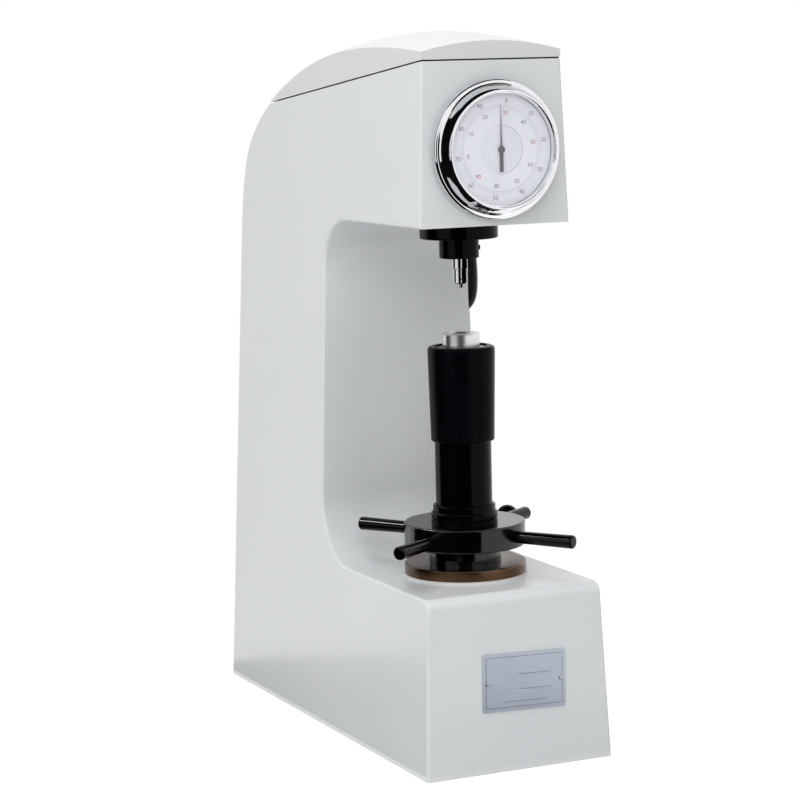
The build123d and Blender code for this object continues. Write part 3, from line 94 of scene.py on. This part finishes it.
# ---------------------------------------------------------------- dial, as shares of the face radius
zero_angle = 8.4                # degrees clockwise from the top
tens = 10
tick_count = 100
tick_inner = 0.745
tick_outer = 0.785
long_tick_outer = 0.80
tick_width = 0.0038
long_tick_widening = 1.8
ring_radii = (0.742, 0.788)
ring_width = 0.0045
ring_steps = 180
outer_number_radius = 0.865
inner_number_radius = 0.655
outer_number_size = 0.0052      # metres
inner_number_size = 0.0050
inner_numbers = (30, 40, 50, 60, 70, 80, 90, 0, 10, 20)
red_places = (0, 2, 6)
centre_disc_radius = 0.43
centre_disc_steps = 96
circle_widening = 1.6
circle_glare_fade = (-0.012, 0.014)   # metres right of the middle, where the circle's ink starts and is full; further left a painted glare fades the ink out
pointer_reach = 0.036           # metres
print_height = 0.00004

# ---------------------------------------------------------------- nameplate printing, in metres
plate_half_size = (0.040, 0.025)
plate_tilt = -1.9               # degrees
plate_border_inset = 0.0032
plate_line_width = 0.00035
# height, left end and right end
plate_rows = ((0.0062, -0.006, 0.026), (-0.0068, -0.006, 0.026), (-0.0172, -0.020, 0.022))

socket_bore_radius = 0.0084     # metres; within it the socket is painted near black, as painted shade in the bore


# ---------------------------------------------------------------- material building
class Finish:
    """A procedural material: one Principled shader and the nodes that feed it."""

    def __init__(self, name, roughness, metallic=0.0, **constants):
        self.material = bpy.data.materials.new(name)
        self.material.use_nodes = True
        self.tree = self.material.node_tree
        self.shader = self.tree.nodes["Principled BSDF"]
        self.shader.inputs["Roughness"].default_value = roughness
        self.shader.inputs["Metallic"].default_value = metallic
        for socket, value in constants.items():
            self.shader.inputs[socket.replace("_", " ")].default_value = value
        place = self.tree.nodes.new("ShaderNodeTexCoord")
        self.place = place.outputs["Object"]

    def node(self, kind, **inputs):
        made = self.tree.nodes.new(kind)
        for name, value in inputs.items():
            self.feed(made.inputs[name.replace("_", " ")], value)
        return made

    def feed(self, socket, value):
        if isinstance(value, bpy.types.NodeSocket):
            self.tree.links.new(value, socket)
        else:
            socket.default_value = value

    def math(self, operation, a, b=0.0):
        made = self.tree.nodes.new("ShaderNodeMath")
        made.operation = operation
        self.feed(made.inputs[0], a)
        self.feed(made.inputs[1], b)
        return made.outputs[0]

    def noise(self, scale, detail=3.0, stretch=(1, 1, 1)):
        """Soft noise; a stretch below 1 draws it out along that axis."""
        mapping = self.node("ShaderNodeMapping", Vector=self.place, Scale=stretch)
        made = self.node("ShaderNodeTexNoise", Vector=mapping.outputs[0], Scale=scale, Detail=detail)
        return made.outputs["Fac"]

    def spread(self, value, low, high, start=0.3, end=0.7):
        """The value's middle range, carried to low..high."""
        made = self.node("ShaderNodeMapRange", Value=value)
        for name, number in (("From Min", start), ("From Max", end), ("To Min", low), ("To Max", high)):
            made.inputs[name].default_value = number
        return made.outputs[0]

    def from_centre(self, centre):
        """The vector from centre to the surface point."""
        made = self.tree.nodes.new("ShaderNodeVectorMath")
        made.operation = "SUBTRACT"
        self.feed(made.inputs[0], self.place)
        made.inputs[1].default_value = centre
        return made.outputs[0]

    def away(self, centre, axis="Z"):
        """Distance from an axis through centre."""
        flat = self.tree.nodes.new("ShaderNodeVectorMath")
        flat.operation = "MULTIPLY"
        self.feed(flat.inputs[0], self.from_centre(centre))
        flat.inputs[1].default_value = {"X": (0, 1, 1), "Y": (1, 0, 1), "Z": (1, 1, 0)}[axis]
        length = self.tree.nodes.new("ShaderNodeVectorMath")
        length.operation = "LENGTH"
        self.feed(length.inputs[0], flat.outputs[0])
        return length.outputs["Value"]

    def turned(self, centre, scale, axis="Z"):
        """Marks of a lathe about an axis through centre: rings on flat ends, lines round the sides."""
        parts = self.node("ShaderNodeSeparateXYZ", Vector=self.from_centre(centre))
        along = self.math("ADD", self.away(centre, axis), parts.outputs[axis])
        made = self.tree.nodes.new("ShaderNodeTexNoise")
        made.noise_dimensions = "1D"
        self.feed(made.inputs["W"], along)
        made.inputs["Scale"].default_value = scale
        made.inputs["Detail"].default_value = 4.0
        return made.outputs["Fac"]

    def edges(self, radius, strength=1.0):
        """1 along sharp edges, 0 elsewhere."""
        bevel = self.node("ShaderNodeBevel", Radius=radius)
        bevel.samples = 4
        geometry = self.tree.nodes.new("ShaderNodeNewGeometry")
        dot = self.tree.nodes.new("ShaderNodeVectorMath")
        dot.operation = "DOT_PRODUCT"
        self.feed(dot.inputs[0], bevel.outputs[0])
        self.feed(dot.inputs[1], geometry.outputs["Normal"])
        return self.spread(dot.outputs["Value"], strength, 0.0, 0.80, 0.985)

    def colour(self, a, b, factor):
        made = self.tree.nodes.new("ShaderNodeMix")
        made.data_type = "RGBA"
        self.feed(made.inputs[0], factor)
        for socket, value in ((made.inputs[6], a), (made.inputs[7], b)):
            self.feed(socket, value if isinstance(value, bpy.types.NodeSocket) else (*value, 1.0))
        return made.outputs[2]

    def use(self, **links):
        for name, value in links.items():
            self.feed(self.shader.inputs[name.replace("_", " ")], value)

    def bump(self, height, distance, strength=1.0):
        made = self.node("ShaderNodeBump", Height=height, Distance=distance, Strength=strength)
        self.use(Normal=made.outputs[0])


def enamel(name, light, dark, coat=0.22):
    """Sprayed gloss enamel over a cast surface: faint clouds of tone, orange peel and a slow wave."""
    finish = Finish(name, 0.3, Specular_IOR_Level=0.4, Coat_Weight=coat, Coat_Roughness=0.10,
                    Coat_IOR=1.5)
    clouds = finish.noise(7.0, 4.0)
    specks = finish.spread(finish.noise(900.0, 1.0), 0.0, 1.0, 0.74, 0.80)
    tone = finish.colour(light, dark, finish.spread(clouds, 0.0, 1.0))
    dusty = finish.colour(tone, [0.55 * c for c in light], finish.math("MULTIPLY", specks, 0.12))
    finish.use(Base_Color=dusty, Roughness=finish.spread(finish.noise(24.0, 5.0), 0.28, 0.34))
    peel = finish.math("MULTIPLY", finish.noise(330.0, 2.0), 0.12)
    wave = finish.noise(28.0, 2.0)
    finish.bump(finish.math("ADD", peel, wave), 0.00018, 0.45)
    return finish.material


def black_gloss(name, centre, axis="Z", shine=0.07):
    """Deep black stove enamel on turned steel, with fine lathe lines, dust and a painted highlight along
    thin edges.
    """
    finish = Finish(name, 0.15, Specular_IOR_Level=shine)
    dust = finish.spread(finish.noise(420.0, 6.0), 0.0, 0.30, 0.60, 0.85)
    base = finish.colour((0.0006, 0.0007, 0.0010), (0.012, 0.012, 0.014), dust)
    # painted highlight: thin edges get a paler base colour, broken up by noise
    highlight_breakup = finish.spread(finish.noise(160.0, 4.0), 0.0, 0.75)
    edge_highlight = finish.math("MULTIPLY", finish.edges(0.0005), highlight_breakup)
    finish.use(Base_Color=finish.colour(base, (0.05, 0.05, 0.055), edge_highlight),
               Roughness=finish.spread(finish.noise(60.0, 5.0), 0.08, 0.17))
    finish.bump(finish.turned(centre, 1500.0, axis), 0.000008, 0.3)
    return finish.material


def black_moulded(name, centre, axis="Z"):
    """Moulded black plastic: slightly satin, with a fine texture and a few rubbed places."""
    finish = Finish(name, 0.3, Specular_IOR_Level=0.04)
    rubbed = finish.spread(finish.noise(38.0, 6.0, (1, 1, 0.35)), 0.0, 1.0, 0.45, 0.8)
    finish.use(Base_Color=finish.colour((0.0008, 0.0010, 0.0020), (0.004, 0.0043, 0.006), rubbed),
               Roughness=finish.spread(rubbed, 0.26, 0.40, 0.0, 1.0))
    texture = finish.noise(2400.0, 2.0)
    lines = finish.math("MULTIPLY", finish.turned(centre, 700.0, axis), 0.6)
    finish.bump(finish.math("ADD", texture, lines), 0.000016, 0.6)
    return finish.material


def turned_bronze(name, centre):
    """Dark patinated bronze with rings from the lathe and a bright edge that is a painted highlight."""
    finish = Finish(name, 0.33, 1.0)
    marks = finish.turned(centre, 1300.0)
    stain = finish.spread(finish.noise(45.0, 6.0), 0.0, 1.0)
    patina = finish.colour((0.072, 0.040, 0.021), (0.140, 0.080, 0.045), stain)
    fine = finish.colour(patina, (0.15, 0.095, 0.058), finish.spread(marks, 0.0, 0.35))
    # the bright colour along the edges is a painted highlight on the rim
    finish.use(Base_Color=finish.colour(fine, (0.62, 0.50, 0.38), finish.edges(0.0012, 0.9)),
               Roughness=finish.spread(marks, 0.17, 0.28))
    finish.bump(marks, 0.00003, 0.6)
    return finish.material


def socket_steel(name, centre, bore_radius):
    """Bright turned steel with painted shade in its bore, which stays dark."""
    finish = Finish(name, 0.22, 1.0)
    marks = finish.turned(centre, 1500.0)
    stain = finish.spread(finish.noise(90.0, 6.0), 0.0, 1.0)
    tone = finish.colour((0.86, 0.85, 0.84), (0.70, 0.70, 0.70), finish.math("MULTIPLY", stain, 0.6))
    lined = finish.colour(tone, (0.58, 0.58, 0.58), finish.spread(marks, 0.0, 0.3))
    # painted shade: inside the bore the colour goes near black and the surface rougher
    bore_shade = finish.spread(finish.away(centre), 1.0, 0.0, bore_radius, bore_radius + 0.0002)
    sheen = finish.math("ADD", finish.spread(marks, 0.26, 0.38), finish.math("MULTIPLY", bore_shade, 0.3))
    finish.use(Base_Color=finish.colour(lined, (0.03, 0.03, 0.03), bore_shade), Roughness=sheen)
    finish.bump(marks, 0.000012, 0.5)
    return finish.material


def steel(name, centre, light, dark, rough, marks_scale=1700.0):
    """Turned or ground steel: fine machining lines, slight stains and brighter edges."""
    finish = Finish(name, rough, 1.0)
    marks = finish.turned(centre, marks_scale)
    stain = finish.spread(finish.noise(70.0, 6.0), 0.0, 1.0)
    tone = finish.colour(light, dark, finish.math("MULTIPLY", stain, 0.7))
    lined = finish.colour(tone, dark, finish.spread(marks, 0.0, 0.4))
    finish.use(Base_Color=finish.colour(lined, light, finish.edges(0.0004, 0.6)),
               Roughness=finish.spread(marks, rough * 0.75, rough * 1.35))
    finish.bump(marks, 0.00002, 0.6)
    return finish.material


def chrome(name, centre):
    """Polished chromium plate with hairlines from polishing."""
    finish = Finish(name, 0.05, 1.0)
    hair = finish.turned(centre, 5200.0, "Y")
    haze = finish.spread(finish.noise(90.0, 6.0), 0.0, 1.0, 0.5, 0.8)
    finish.use(Base_Color=finish.colour((0.86, 0.87, 0.89), (0.76, 0.77, 0.79), haze),
               Roughness=finish.spread(haze, 0.035, 0.10, 0.0, 1.0))
    finish.bump(hair, 0.000003, 0.4)
    return finish.material


def casting(name):
    """Bare grey iron, sand-cast: coarse grain and a few darker patches."""
    finish = Finish(name, 0.62, 0.55)
    patches = finish.spread(finish.noise(30.0, 6.0), 0.0, 1.0)
    finish.use(Base_Color=finish.colour((0.13, 0.13, 0.135), (0.075, 0.072, 0.07), patches),
               Roughness=finish.spread(patches, 0.52, 0.72, 0.0, 1.0))
    finish.bump(finish.noise(1100.0, 5.0), 0.00012, 0.8)
    return finish.material


def rubber(name):
    finish = Finish(name, 0.7, Specular_IOR_Level=0.3)
    bloom = finish.spread(finish.noise(120.0, 5.0), 0.0, 1.0)
    finish.use(Base_Color=finish.colour((0.012, 0.012, 0.013), (0.03, 0.03, 0.032), bloom))
    finish.bump(finish.noise(2600.0, 3.0), 0.00003, 0.7)
    return finish.material


def printed_white(name):
    """White enamelled dial with a faint bluish cast."""
    finish = Finish(name, 0.42)
    cloud = finish.spread(finish.noise(32.0, 4.0), 0.0, 1.0)
    finish.use(Base_Color=finish.colour((0.92, 0.925, 0.98), (0.89, 0.895, 0.95), cloud),
               Roughness=finish.spread(cloud, 0.36, 0.48, 0.0, 1.0))
    finish.bump(finish.noise(3000.0, 2.0), 0.000004, 0.4)
    return finish.material


def ink(name, light, dark):
    """Printing ink, a little uneven as screen printing is."""
    finish = Finish(name, 0.45)
    finish.use(Base_Color=finish.colour(light, dark, finish.spread(finish.noise(1800.0, 3.0), 0.0, 1.0)))
    return finish.material


def pointer_lacquer(name, centre):
    """Blued lacquer on the pointer, paler towards its tip."""
    finish = Finish(name, 0.35)
    uneven = finish.spread(finish.noise(400.0, 4.0), 0.0, 0.35)
    dark = finish.colour((0.105, 0.11, 0.13), (0.075, 0.08, 0.095), uneven)
    pale = finish.colour((0.46, 0.47, 0.53), (0.36, 0.37, 0.42), uneven)
    height = finish.node("ShaderNodeSeparateXYZ", Vector=finish.from_centre(centre)).outputs["Z"]
    finish.use(Base_Color=finish.colour(dark, pale, finish.spread(height, 0.0, 1.0, 0.0, pointer_reach)))
    finish.bump(finish.noise(1500.0, 3.0), 0.00001, 0.4)
    return finish.material


def circle_ink(name, centre, light, dark):
    """Ink of the inner circle, strong on its right and fading out to the left, where a painted glare
    washes it out.
    """
    finish = Finish(name, 0.45)
    side = finish.node("ShaderNodeSeparateXYZ", Vector=finish.from_centre(centre)).outputs["X"]
    uneven = finish.spread(finish.noise(1800.0, 3.0), 0.0, 0.15)
    # the ink's fade towards the left is painted glare, not a change in the print
    strength = finish.math("SUBTRACT", finish.spread(side, 0.0, 1.0, *circle_glare_fade), uneven)
    finish.use(Base_Color=finish.colour(light, dark, strength))
    return finish.material


def crystal(name):
    """Clear dial glass with slight dust and wipe marks: it lets light straight through and reflects by
    Fresnel's law on the side that faces outwards."""
    finish = Finish(name, 0.02)
    tree = finish.tree
    dust = finish.spread(finish.noise(60.0, 7.0, (1, 1, 0.4)), 0.0, 1.0, 0.55, 0.85)
    clear = finish.node("ShaderNodeBsdfTransparent",
                        Color=finish.colour((0.995, 0.997, 1.0), (0.955, 0.96, 0.97), dust))
    shine = finish.node("ShaderNodeBsdfGlossy", Roughness=finish.spread(dust, 0.01, 0.06, 0.0, 1.0))
    shine.inputs["Color"].default_value = (1.0, 1.0, 1.0, 1.0)
    fresnel = finish.node("ShaderNodeFresnel", IOR=1.46)
    geometry = tree.nodes.new("ShaderNodeNewGeometry")
    outside = finish.math("SUBTRACT", 1.0, geometry.outputs["Backfacing"])
    mix = tree.nodes.new("ShaderNodeMixShader")
    finish.feed(mix.inputs[0], finish.math("MULTIPLY", fresnel.outputs[0], outside))
    finish.feed(mix.inputs[1], clear.outputs[0])
    finish.feed(mix.inputs[2], shine.outputs[0])
    tree.nodes.remove(finish.shader)
    finish.feed(tree.nodes["Material Output"].inputs["Surface"], mix.outputs[0])
    return finish.material


def anodised(name):
    """Satin blue-grey aluminium, brushed along its length."""
    finish = Finish(name, 0.42, 0.7)
    brushed = finish.noise(2600.0, 4.0, (0.02, 1, 1))
    cloud = finish.spread(finish.noise(40.0, 4.0), 0.0, 1.0)
    tone = finish.colour((0.60, 0.655, 0.76), (0.55, 0.60, 0.70), cloud)
    finish.use(Base_Color=finish.colour(tone, (0.48, 0.53, 0.62), finish.spread(brushed, 0.0, 0.5)),
               Roughness=finish.spread(brushed, 0.34, 0.50))
    finish.bump(brushed, 0.000010, 0.5)
    return finish.material


# ---------------------------------------------------------------- places read from the frame
def middle(node):
    low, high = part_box(node)
    return (low + high) / 2


spindle_axis = middle("handwheel")
dial_middle = middle("dial_face")
selector_middle = middle("selector_knob")
shaft_middle = middle("operating_shaft")
knob_middle = middle("operating_knob")


def dress_nodes():
    """Gives every CAD node the finish of its record slot, or a closer one where the piece needs it."""
    slots = {p["node"]: p["material_slot"] for p in frame["record"]["subparts"]}
    by_slot = {
        "stand_paint": enamel("stand enamel", (0.722, 0.743, 0.752), (0.705, 0.728, 0.74)),
        # the lid's enamel is the stand's enamel made a little darker and greyer: painted shade for the
        # lid's top
        "lid_paint": enamel("lid enamel", (0.70, 0.705, 0.705), (0.68, 0.688, 0.69), 0.06),
        "gasket": rubber("gasket rubber"),
        "black_enamel": black_gloss("black enamel", spindle_axis),
        "black_plastic": black_moulded("black plastic", spindle_axis),
        "bronze": turned_bronze("dark bronze", spindle_axis),
        "bright_steel": steel("bright steel", spindle_axis, (0.66, 0.66, 0.67), (0.42, 0.42, 0.43),
                              0.26),
        "polished_steel": steel("polished steel", spindle_axis, (0.80, 0.80, 0.82), (0.60, 0.60, 0.62),
                                0.12, 2600.0),
        "dark_steel": steel("oiled steel", spindle_axis, (0.20, 0.20, 0.21), (0.09, 0.09, 0.095), 0.36),
        "raw_casting": casting("grey iron"),
        "chrome": chrome("chromium plate", dial_middle),
        "dial_print": printed_white("dial white"),
        "pointer_paint": ink("pointer lacquer", (0.085, 0.088, 0.10), (0.06, 0.06, 0.07)),
        "crystal": crystal("dial crystal"),
        "plate": anodised("anodised plate"),
    }
    closer = {
        "selector_knob": black_moulded("knob plastic", selector_middle, "X"),
        "operating_knob": black_gloss("ball knob", knob_middle, "X"),
        "operating_arm": black_gloss("arm enamel", shaft_middle, "X"),
        "anvil_socket": socket_steel("socket steel", spindle_axis, socket_bore_radius),
        "handwheel": black_gloss("wheel enamel", spindle_axis, shine=0.5),
        "handwheel_handles": black_gloss("handle enamel", spindle_axis, shine=0.22),
        "dial_pointer": pointer_lacquer("pointer blade lacquer", dial_middle),
    }
    for name, node in frame["nodes"].items():
        finish = closer.get(name, by_slot[slots[name]])
        node.data.materials.clear()
        node.data.materials.append(finish)


# ---------------------------------------------------------------- small mesh helpers
def piece(name, build, material, body):
    """A mesh object made by build(mesh), that rides on a body."""
    mesh = bmesh.new()
    build(mesh)
    data = bpy.data.meshes.new(name)
    mesh.to_mesh(data)
    mesh.free()
    data.materials.append(material)
    made = bpy.data.objects.new(name, data)
    bpy.context.scene.collection.objects.link(made)
    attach(made, body)
    return made


def slab(mesh, corners, lift):
    """A thin closed plate on the given outline, raised by the lift vector."""
    low = [mesh.verts.new(c) for c in corners]
    high = [mesh.verts.new(Vector(c) + lift) for c in corners]
    count = len(corners)
    mesh.faces.new(high)
    mesh.faces.new(list(reversed(low)))
    for i in range(count):
        j = (i + 1) % count
        mesh.faces.new((low[i], low[j], high[j], high[i]))


# ---------------------------------------------------------------- dial printing
face_low, face_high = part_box("dial_face")
face_radius = (face_high.x - face_low.x) / 2
face_front = face_low.y
ink_lift = Vector((0, -print_height, 0))


def on_face(radius, angle):
    """Point on the dial's front: a share of its radius, and degrees clockwise from the scale's zero."""
    turn = math.radians(zero_angle + angle)
    across = radius * face_radius * math.sin(turn)
    rise = radius * face_radius * math.cos(turn)
    return Vector((dial_middle.x + across, face_front, dial_middle.z + rise))


def radial_bar(mesh, inner, outer, angle, width):
    """A tick between two radii."""
    start, end = on_face(inner, angle), on_face(outer, angle)
    along = (end - start).normalized()
    side = along.cross(Vector((0, 1, 0))) * width * face_radius / 2
    slab(mesh, (start - side, start + side, end + side, end - side), ink_lift)


def ring(mesh, radius, width):
    """A flat printed ring."""
    outer = radius + width
    for i in range(ring_steps):
        a, b = 360 * i / ring_steps, 360 * (i + 1) / ring_steps
        corners = (on_face(radius, a), on_face(radius, b), on_face(outer, b), on_face(outer, a))
        slab(mesh, corners, ink_lift)


def build_ticks(mesh):
    for i in range(tick_count):
        long = i % (tick_count // tens) == 0
        outer = long_tick_outer if long else tick_outer
        width = tick_width * (long_tick_widening if long else 1.0)
        radial_bar(mesh, tick_inner, outer, 360 * i / tick_count, width)


def build_rings(mesh):
    for radius in ring_radii:
        ring(mesh, radius, ring_width)


def build_centre_circle(mesh):
    ring(mesh, centre_disc_radius, ring_width * circle_widening)


def build_centre(mesh):
    step = 360 / centre_disc_steps
    corners = [on_face(centre_disc_radius, step * i) for i in range(centre_disc_steps)]
    slab(mesh, corners, ink_lift * 0.5)


def number(text, radius, angle, size, material, name):
    """An upright printed number, centred on its place."""
    curve = bpy.data.curves.new(name, "FONT")
    curve.body = str(text)
    curve.size = size
    curve.align_x = "CENTER"
    curve.align_y = "CENTER"
    curve.extrude = print_height / 2
    shape = bpy.data.objects.new(name + "_curve", curve)
    data = bpy.data.meshes.new_from_object(shape)
    bpy.data.objects.remove(shape)
    upright = Matrix.Rotation(math.pi / 2, 4, "X")
    data.transform(Matrix.Translation(on_face(radius, angle) + ink_lift / 2) @ upright)
    data.materials.clear()
    data.materials.append(material)
    made = bpy.data.objects.new(name, data)
    bpy.context.scene.collection.objects.link(made)
    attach(made, "bezel")


def print_dial():
    grey = ink("grey ink", (0.27, 0.27, 0.31), (0.21, 0.21, 0.24))
    pale = ink("pale ink", (0.58, 0.58, 0.64), (0.52, 0.52, 0.58))
    red = ink("red ink", (0.60, 0.12, 0.15), (0.50, 0.09, 0.12))
    shade = ink("shade ink", (0.865, 0.87, 0.93), (0.84, 0.845, 0.905))
    piece("dial_ticks", build_ticks, pale, "bezel")
    piece("dial_rings", build_rings, pale, "bezel")
    piece("dial_centre", build_centre, shade, "bezel")
    circle = circle_ink("circle ink and glare", dial_middle, (0.86, 0.865, 0.92), (0.24, 0.245, 0.28))
    piece("dial_centre_circle", build_centre_circle, circle, "bezel")
    for i in range(tens):
        angle = 360 * i / tens
        number(i * 10, outer_number_radius, angle, outer_number_size, grey, f"outer_number_{i}")
        inner_ink = red if i in red_places else grey
        name = f"inner_number_{i}"
        number(inner_numbers[i], inner_number_radius, angle, inner_number_size, inner_ink, name)


# ---------------------------------------------------------------- nameplate printing
def plate_axes():
    """Middle, right, up and outward directions of the nameplate's front, from its mesh."""
    low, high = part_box("nameplate")
    corners = [v.co for v in frame["nodes"]["nameplate"].data.vertices]
    lean = max(corners, key=lambda c: c.z - 10 * c.y) - min(corners, key=lambda c: c.z + 10 * c.y)
    up = Vector((0, lean.y, lean.z)).normalized()
    tilt = math.radians(plate_tilt)
    right = Vector((math.cos(tilt), 0, math.sin(tilt)))
    out = right.cross(up).normalized()
    up = out.cross(right).normalized()
    centre = (low + high) / 2
    front = max(corners, key=lambda c: (c - centre).dot(out))
    return centre + out * (front - centre).dot(out), right, up, out


def plate_line(mesh, frame_axes, start, end):
    """A thin printed line between two points given right and up of the plate's middle."""
    centre, right, up, out = frame_axes
    a = centre + right * start[0] + up * start[1]
    b = centre + right * end[0] + up * end[1]
    side = (b - a).normalized().cross(out) * plate_line_width / 2
    slab(mesh, (a - side, b - side, b + side, a + side), out * print_height)


def build_plate_lines(mesh):
    axes = plate_axes()
    half_width, half_height = (half - plate_border_inset for half in plate_half_size)
    corners = ((-half_width, -half_height), (half_width, -half_height), (half_width, half_height),
               (-half_width, half_height))
    for i in range(4):
        plate_line(mesh, axes, corners[i], corners[(i + 1) % 4])
    for height, left, right in plate_rows:
        plate_line(mesh, axes, (left, height), (right, height))


def print_nameplate():
    dark = ink("plate ink", (0.10, 0.11, 0.14), (0.07, 0.08, 0.10))
    piece("nameplate_lines", build_plate_lines, dark, "stand")


# ---------------------------------------------------------------- stage
def white_to_the_eye(tree, plain, white):
    """Mixes in the white background for camera, glossy and transmission rays."""
    path = tree.nodes.new("ShaderNodeLightPath")
    seen = path.outputs["Is Camera Ray"]
    for name in ("Is Glossy Ray", "Is Transmission Ray"):
        either = tree.nodes.new("ShaderNodeMath")
        either.operation = "MAXIMUM"
        tree.links.new(seen, either.inputs[0])
        tree.links.new(path.outputs[name], either.inputs[1])
        seen = either.outputs[0]
    mix = tree.nodes.new("ShaderNodeMixShader")
    tree.links.new(seen, mix.inputs[0])
    tree.links.new(plain, mix.inputs[1])
    tree.links.new(white, mix.inputs[2])
    return mix.outputs[0]


def make_world():
    world = bpy.data.worlds.new("studio")
    bpy.context.scene.world = world
    world.use_nodes = True
    tree = world.node_tree
    plain = tree.nodes["Background"]
    plain.inputs["Color"].default_value = (1.0, 1.0, 1.0, 1.0)
    plain.inputs["Strength"].default_value = sky_level
    white = tree.nodes.new("ShaderNodeBackground")
    white.inputs["Color"].default_value = (1.0, 1.0, 1.0, 1.0)
    white.inputs["Strength"].default_value = 1.0
    surface = white_to_the_eye(tree, plain.outputs[0], white.outputs[0])
    tree.links.new(surface, tree.nodes["World Output"].inputs["Surface"])


def floor_material():
    """Pale paper, white to the eye, that takes the object's shadow near it and none further off."""
    material = bpy.data.materials.new("pale paper")
    material.use_nodes = True
    tree = material.node_tree
    plain = tree.nodes["Principled BSDF"]
    plain.inputs["Base Color"].default_value = (paper_tone, paper_tone, paper_tone, 1.0)
    plain.inputs["Roughness"].default_value = 0.9
    glow = tree.nodes.new("ShaderNodeEmission")
    glow.inputs["Strength"].default_value = paper_glow
    soft = tree.nodes.new("ShaderNodeBsdfDiffuse")
    soft.inputs["Color"].default_value = (paper_lit, paper_lit, paper_lit, 1.0)
    near = tree.nodes.new("ShaderNodeAddShader")
    tree.links.new(glow.outputs[0], near.inputs[0])
    tree.links.new(soft.outputs[0], near.inputs[1])
    far = tree.nodes.new("ShaderNodeEmission")
    far.inputs["Strength"].default_value = 1.0
    place = tree.nodes.new("ShaderNodeTexCoord")
    reach = tree.nodes.new("ShaderNodeVectorMath")
    reach.operation = "LENGTH"
    tree.links.new(place.outputs["Object"], reach.inputs[0])
    fade = tree.nodes.new("ShaderNodeMapRange")
    fade.interpolation_type = "SMOOTHSTEP"
    fade.inputs["From Min"].default_value = paper_near
    fade.inputs["From Max"].default_value = paper_far
    tree.links.new(reach.outputs["Value"], fade.inputs["Value"])
    paper = tree.nodes.new("ShaderNodeMixShader")
    tree.links.new(fade.outputs[0], paper.inputs[0])
    tree.links.new(near.outputs[0], paper.inputs[1])
    tree.links.new(far.outputs[0], paper.inputs[2])
    surface = white_to_the_eye(tree, plain.outputs[0], paper.outputs[0])
    tree.links.new(surface, tree.nodes["Material Output"].inputs["Surface"])
    return material


def stage_object(name, corners, faces, material):
    data = bpy.data.meshes.new(name)
    data.from_pydata(corners, [], faces)
    data.materials.append(material)
    made = bpy.data.objects.new(name, data)
    bpy.context.scene.collection.objects.link(made)
    return made


def make_floor():
    half = floor_size / 2
    corners = [(-half, -half, 0), (half, -half, 0), (half, half, 0), (-half, half, 0)]
    stage_object("floor", corners, [(0, 1, 2, 3)], floor_material())


def around(degrees, radius, height):
    """Point around the cards' middle, in degrees from the front, positive towards the left."""
    angle = math.radians(degrees)
    return (card_middle[0] - radius * math.sin(angle), card_middle[1] - radius * math.cos(angle), height)


def make_cards():
    """Dark cards in front, at the left, above and below, that draw the edges of chrome."""
    material = bpy.data.materials.new("card black")
    material.use_nodes = True
    shader = material.node_tree.nodes["Principled BSDF"]
    shader.inputs["Base Color"].default_value = card_tone
    shader.inputs["Specular IOR Level"].default_value = 0.0
    made = []
    faces = [(2 * i, 2 * i + 2, 2 * i + 3, 2 * i + 1) for i in range(card_steps)]
    for index, (start, end, radius, low, high) in enumerate(cards):
        corners = []
        for i in range(card_steps + 1):
            degrees = start + (end - start) * i / card_steps
            corners += [around(degrees, radius, low), around(degrees, radius, high)]
        made.append(stage_object(f"card_{index}", corners, faces, material))
    start, end, inner, outer = table_span
    corners = []
    for i in range(card_steps + 1):
        degrees = start + (end - start) * i / card_steps
        corners += [around(degrees, inner, span_height), around(degrees, outer, span_height)]
    made.append(stage_object("table_span", corners, faces, material))
    for name, (centre, radius) in (("ceiling_card", ceiling_card), ("table_card", table_card)):
        corners = []
        for i in range(disc_steps):
            angle = 2 * math.pi * i / disc_steps
            x = centre[0] + radius * math.cos(angle)
            y = centre[1] + radius * math.sin(angle)
            corners.append((x, y, centre[2]))
        made.append(stage_object(name, corners, [tuple(range(disc_steps))], material))
    for card in made:
        card.visible_camera = False
        card.visible_diffuse = False
        card.visible_shadow = False
        card.visible_transmission = False


def make_lights():
    """Soft lamps that are kept out of reflections, and one strip that is seen in reflections only."""
    low, high = cad_box
    target = (low + high) / 2
    for name, (place, width, height, power, reflected) in lamps.items():
        lamp = bpy.data.lights.new(name, "AREA")
        lamp.shape = "RECTANGLE"
        lamp.size = width
        lamp.size_y = height
        lamp.energy = power
        holder = bpy.data.objects.new(name, lamp)
        bpy.context.scene.collection.objects.link(holder)
        holder.location = place
        holder.rotation_euler = (target - Vector(place)).to_track_quat("-Z", "Y").to_euler()
        holder.visible_glossy = reflected
        holder.visible_diffuse = not reflected
        if reflected:
            shone_on = bpy.data.collections.new(name + " receivers")
            for node in strip_nodes:
                shone_on.objects.link(frame["nodes"][node])
            holder.light_linking.receiver_collection = shone_on


def make_camera():
    yaw, pitch, roll = (math.radians(a) for a in (camera_yaw, camera_pitch, camera_roll))
    ahead = Vector((math.sin(yaw) * math.cos(pitch), math.cos(yaw) * math.cos(pitch), -math.sin(pitch)))
    level = Vector((math.cos(yaw), -math.sin(yaw), 0.0))
    upright = level.cross(ahead)
    right = level * math.cos(roll) + upright * math.sin(roll)
    up = upright * math.cos(roll) - level * math.sin(roll)
    data = bpy.data.cameras.new("camera")
    data.sensor_width = sensor_width
    data.lens = camera_lens
    holder = bpy.data.objects.new("camera", data)
    bpy.context.scene.collection.objects.link(holder)
    turn = Matrix((right, up, -ahead)).transposed().to_4x4()
    holder.matrix_world = Matrix.Translation(camera_place) @ turn
    bpy.context.scene.camera = holder


bpy.context.scene.view_settings.view_transform = "Standard"
make_camera()
make_world()
make_floor()
make_cards()
make_lights()
dress_nodes()
print_dial()
print_nameplate()
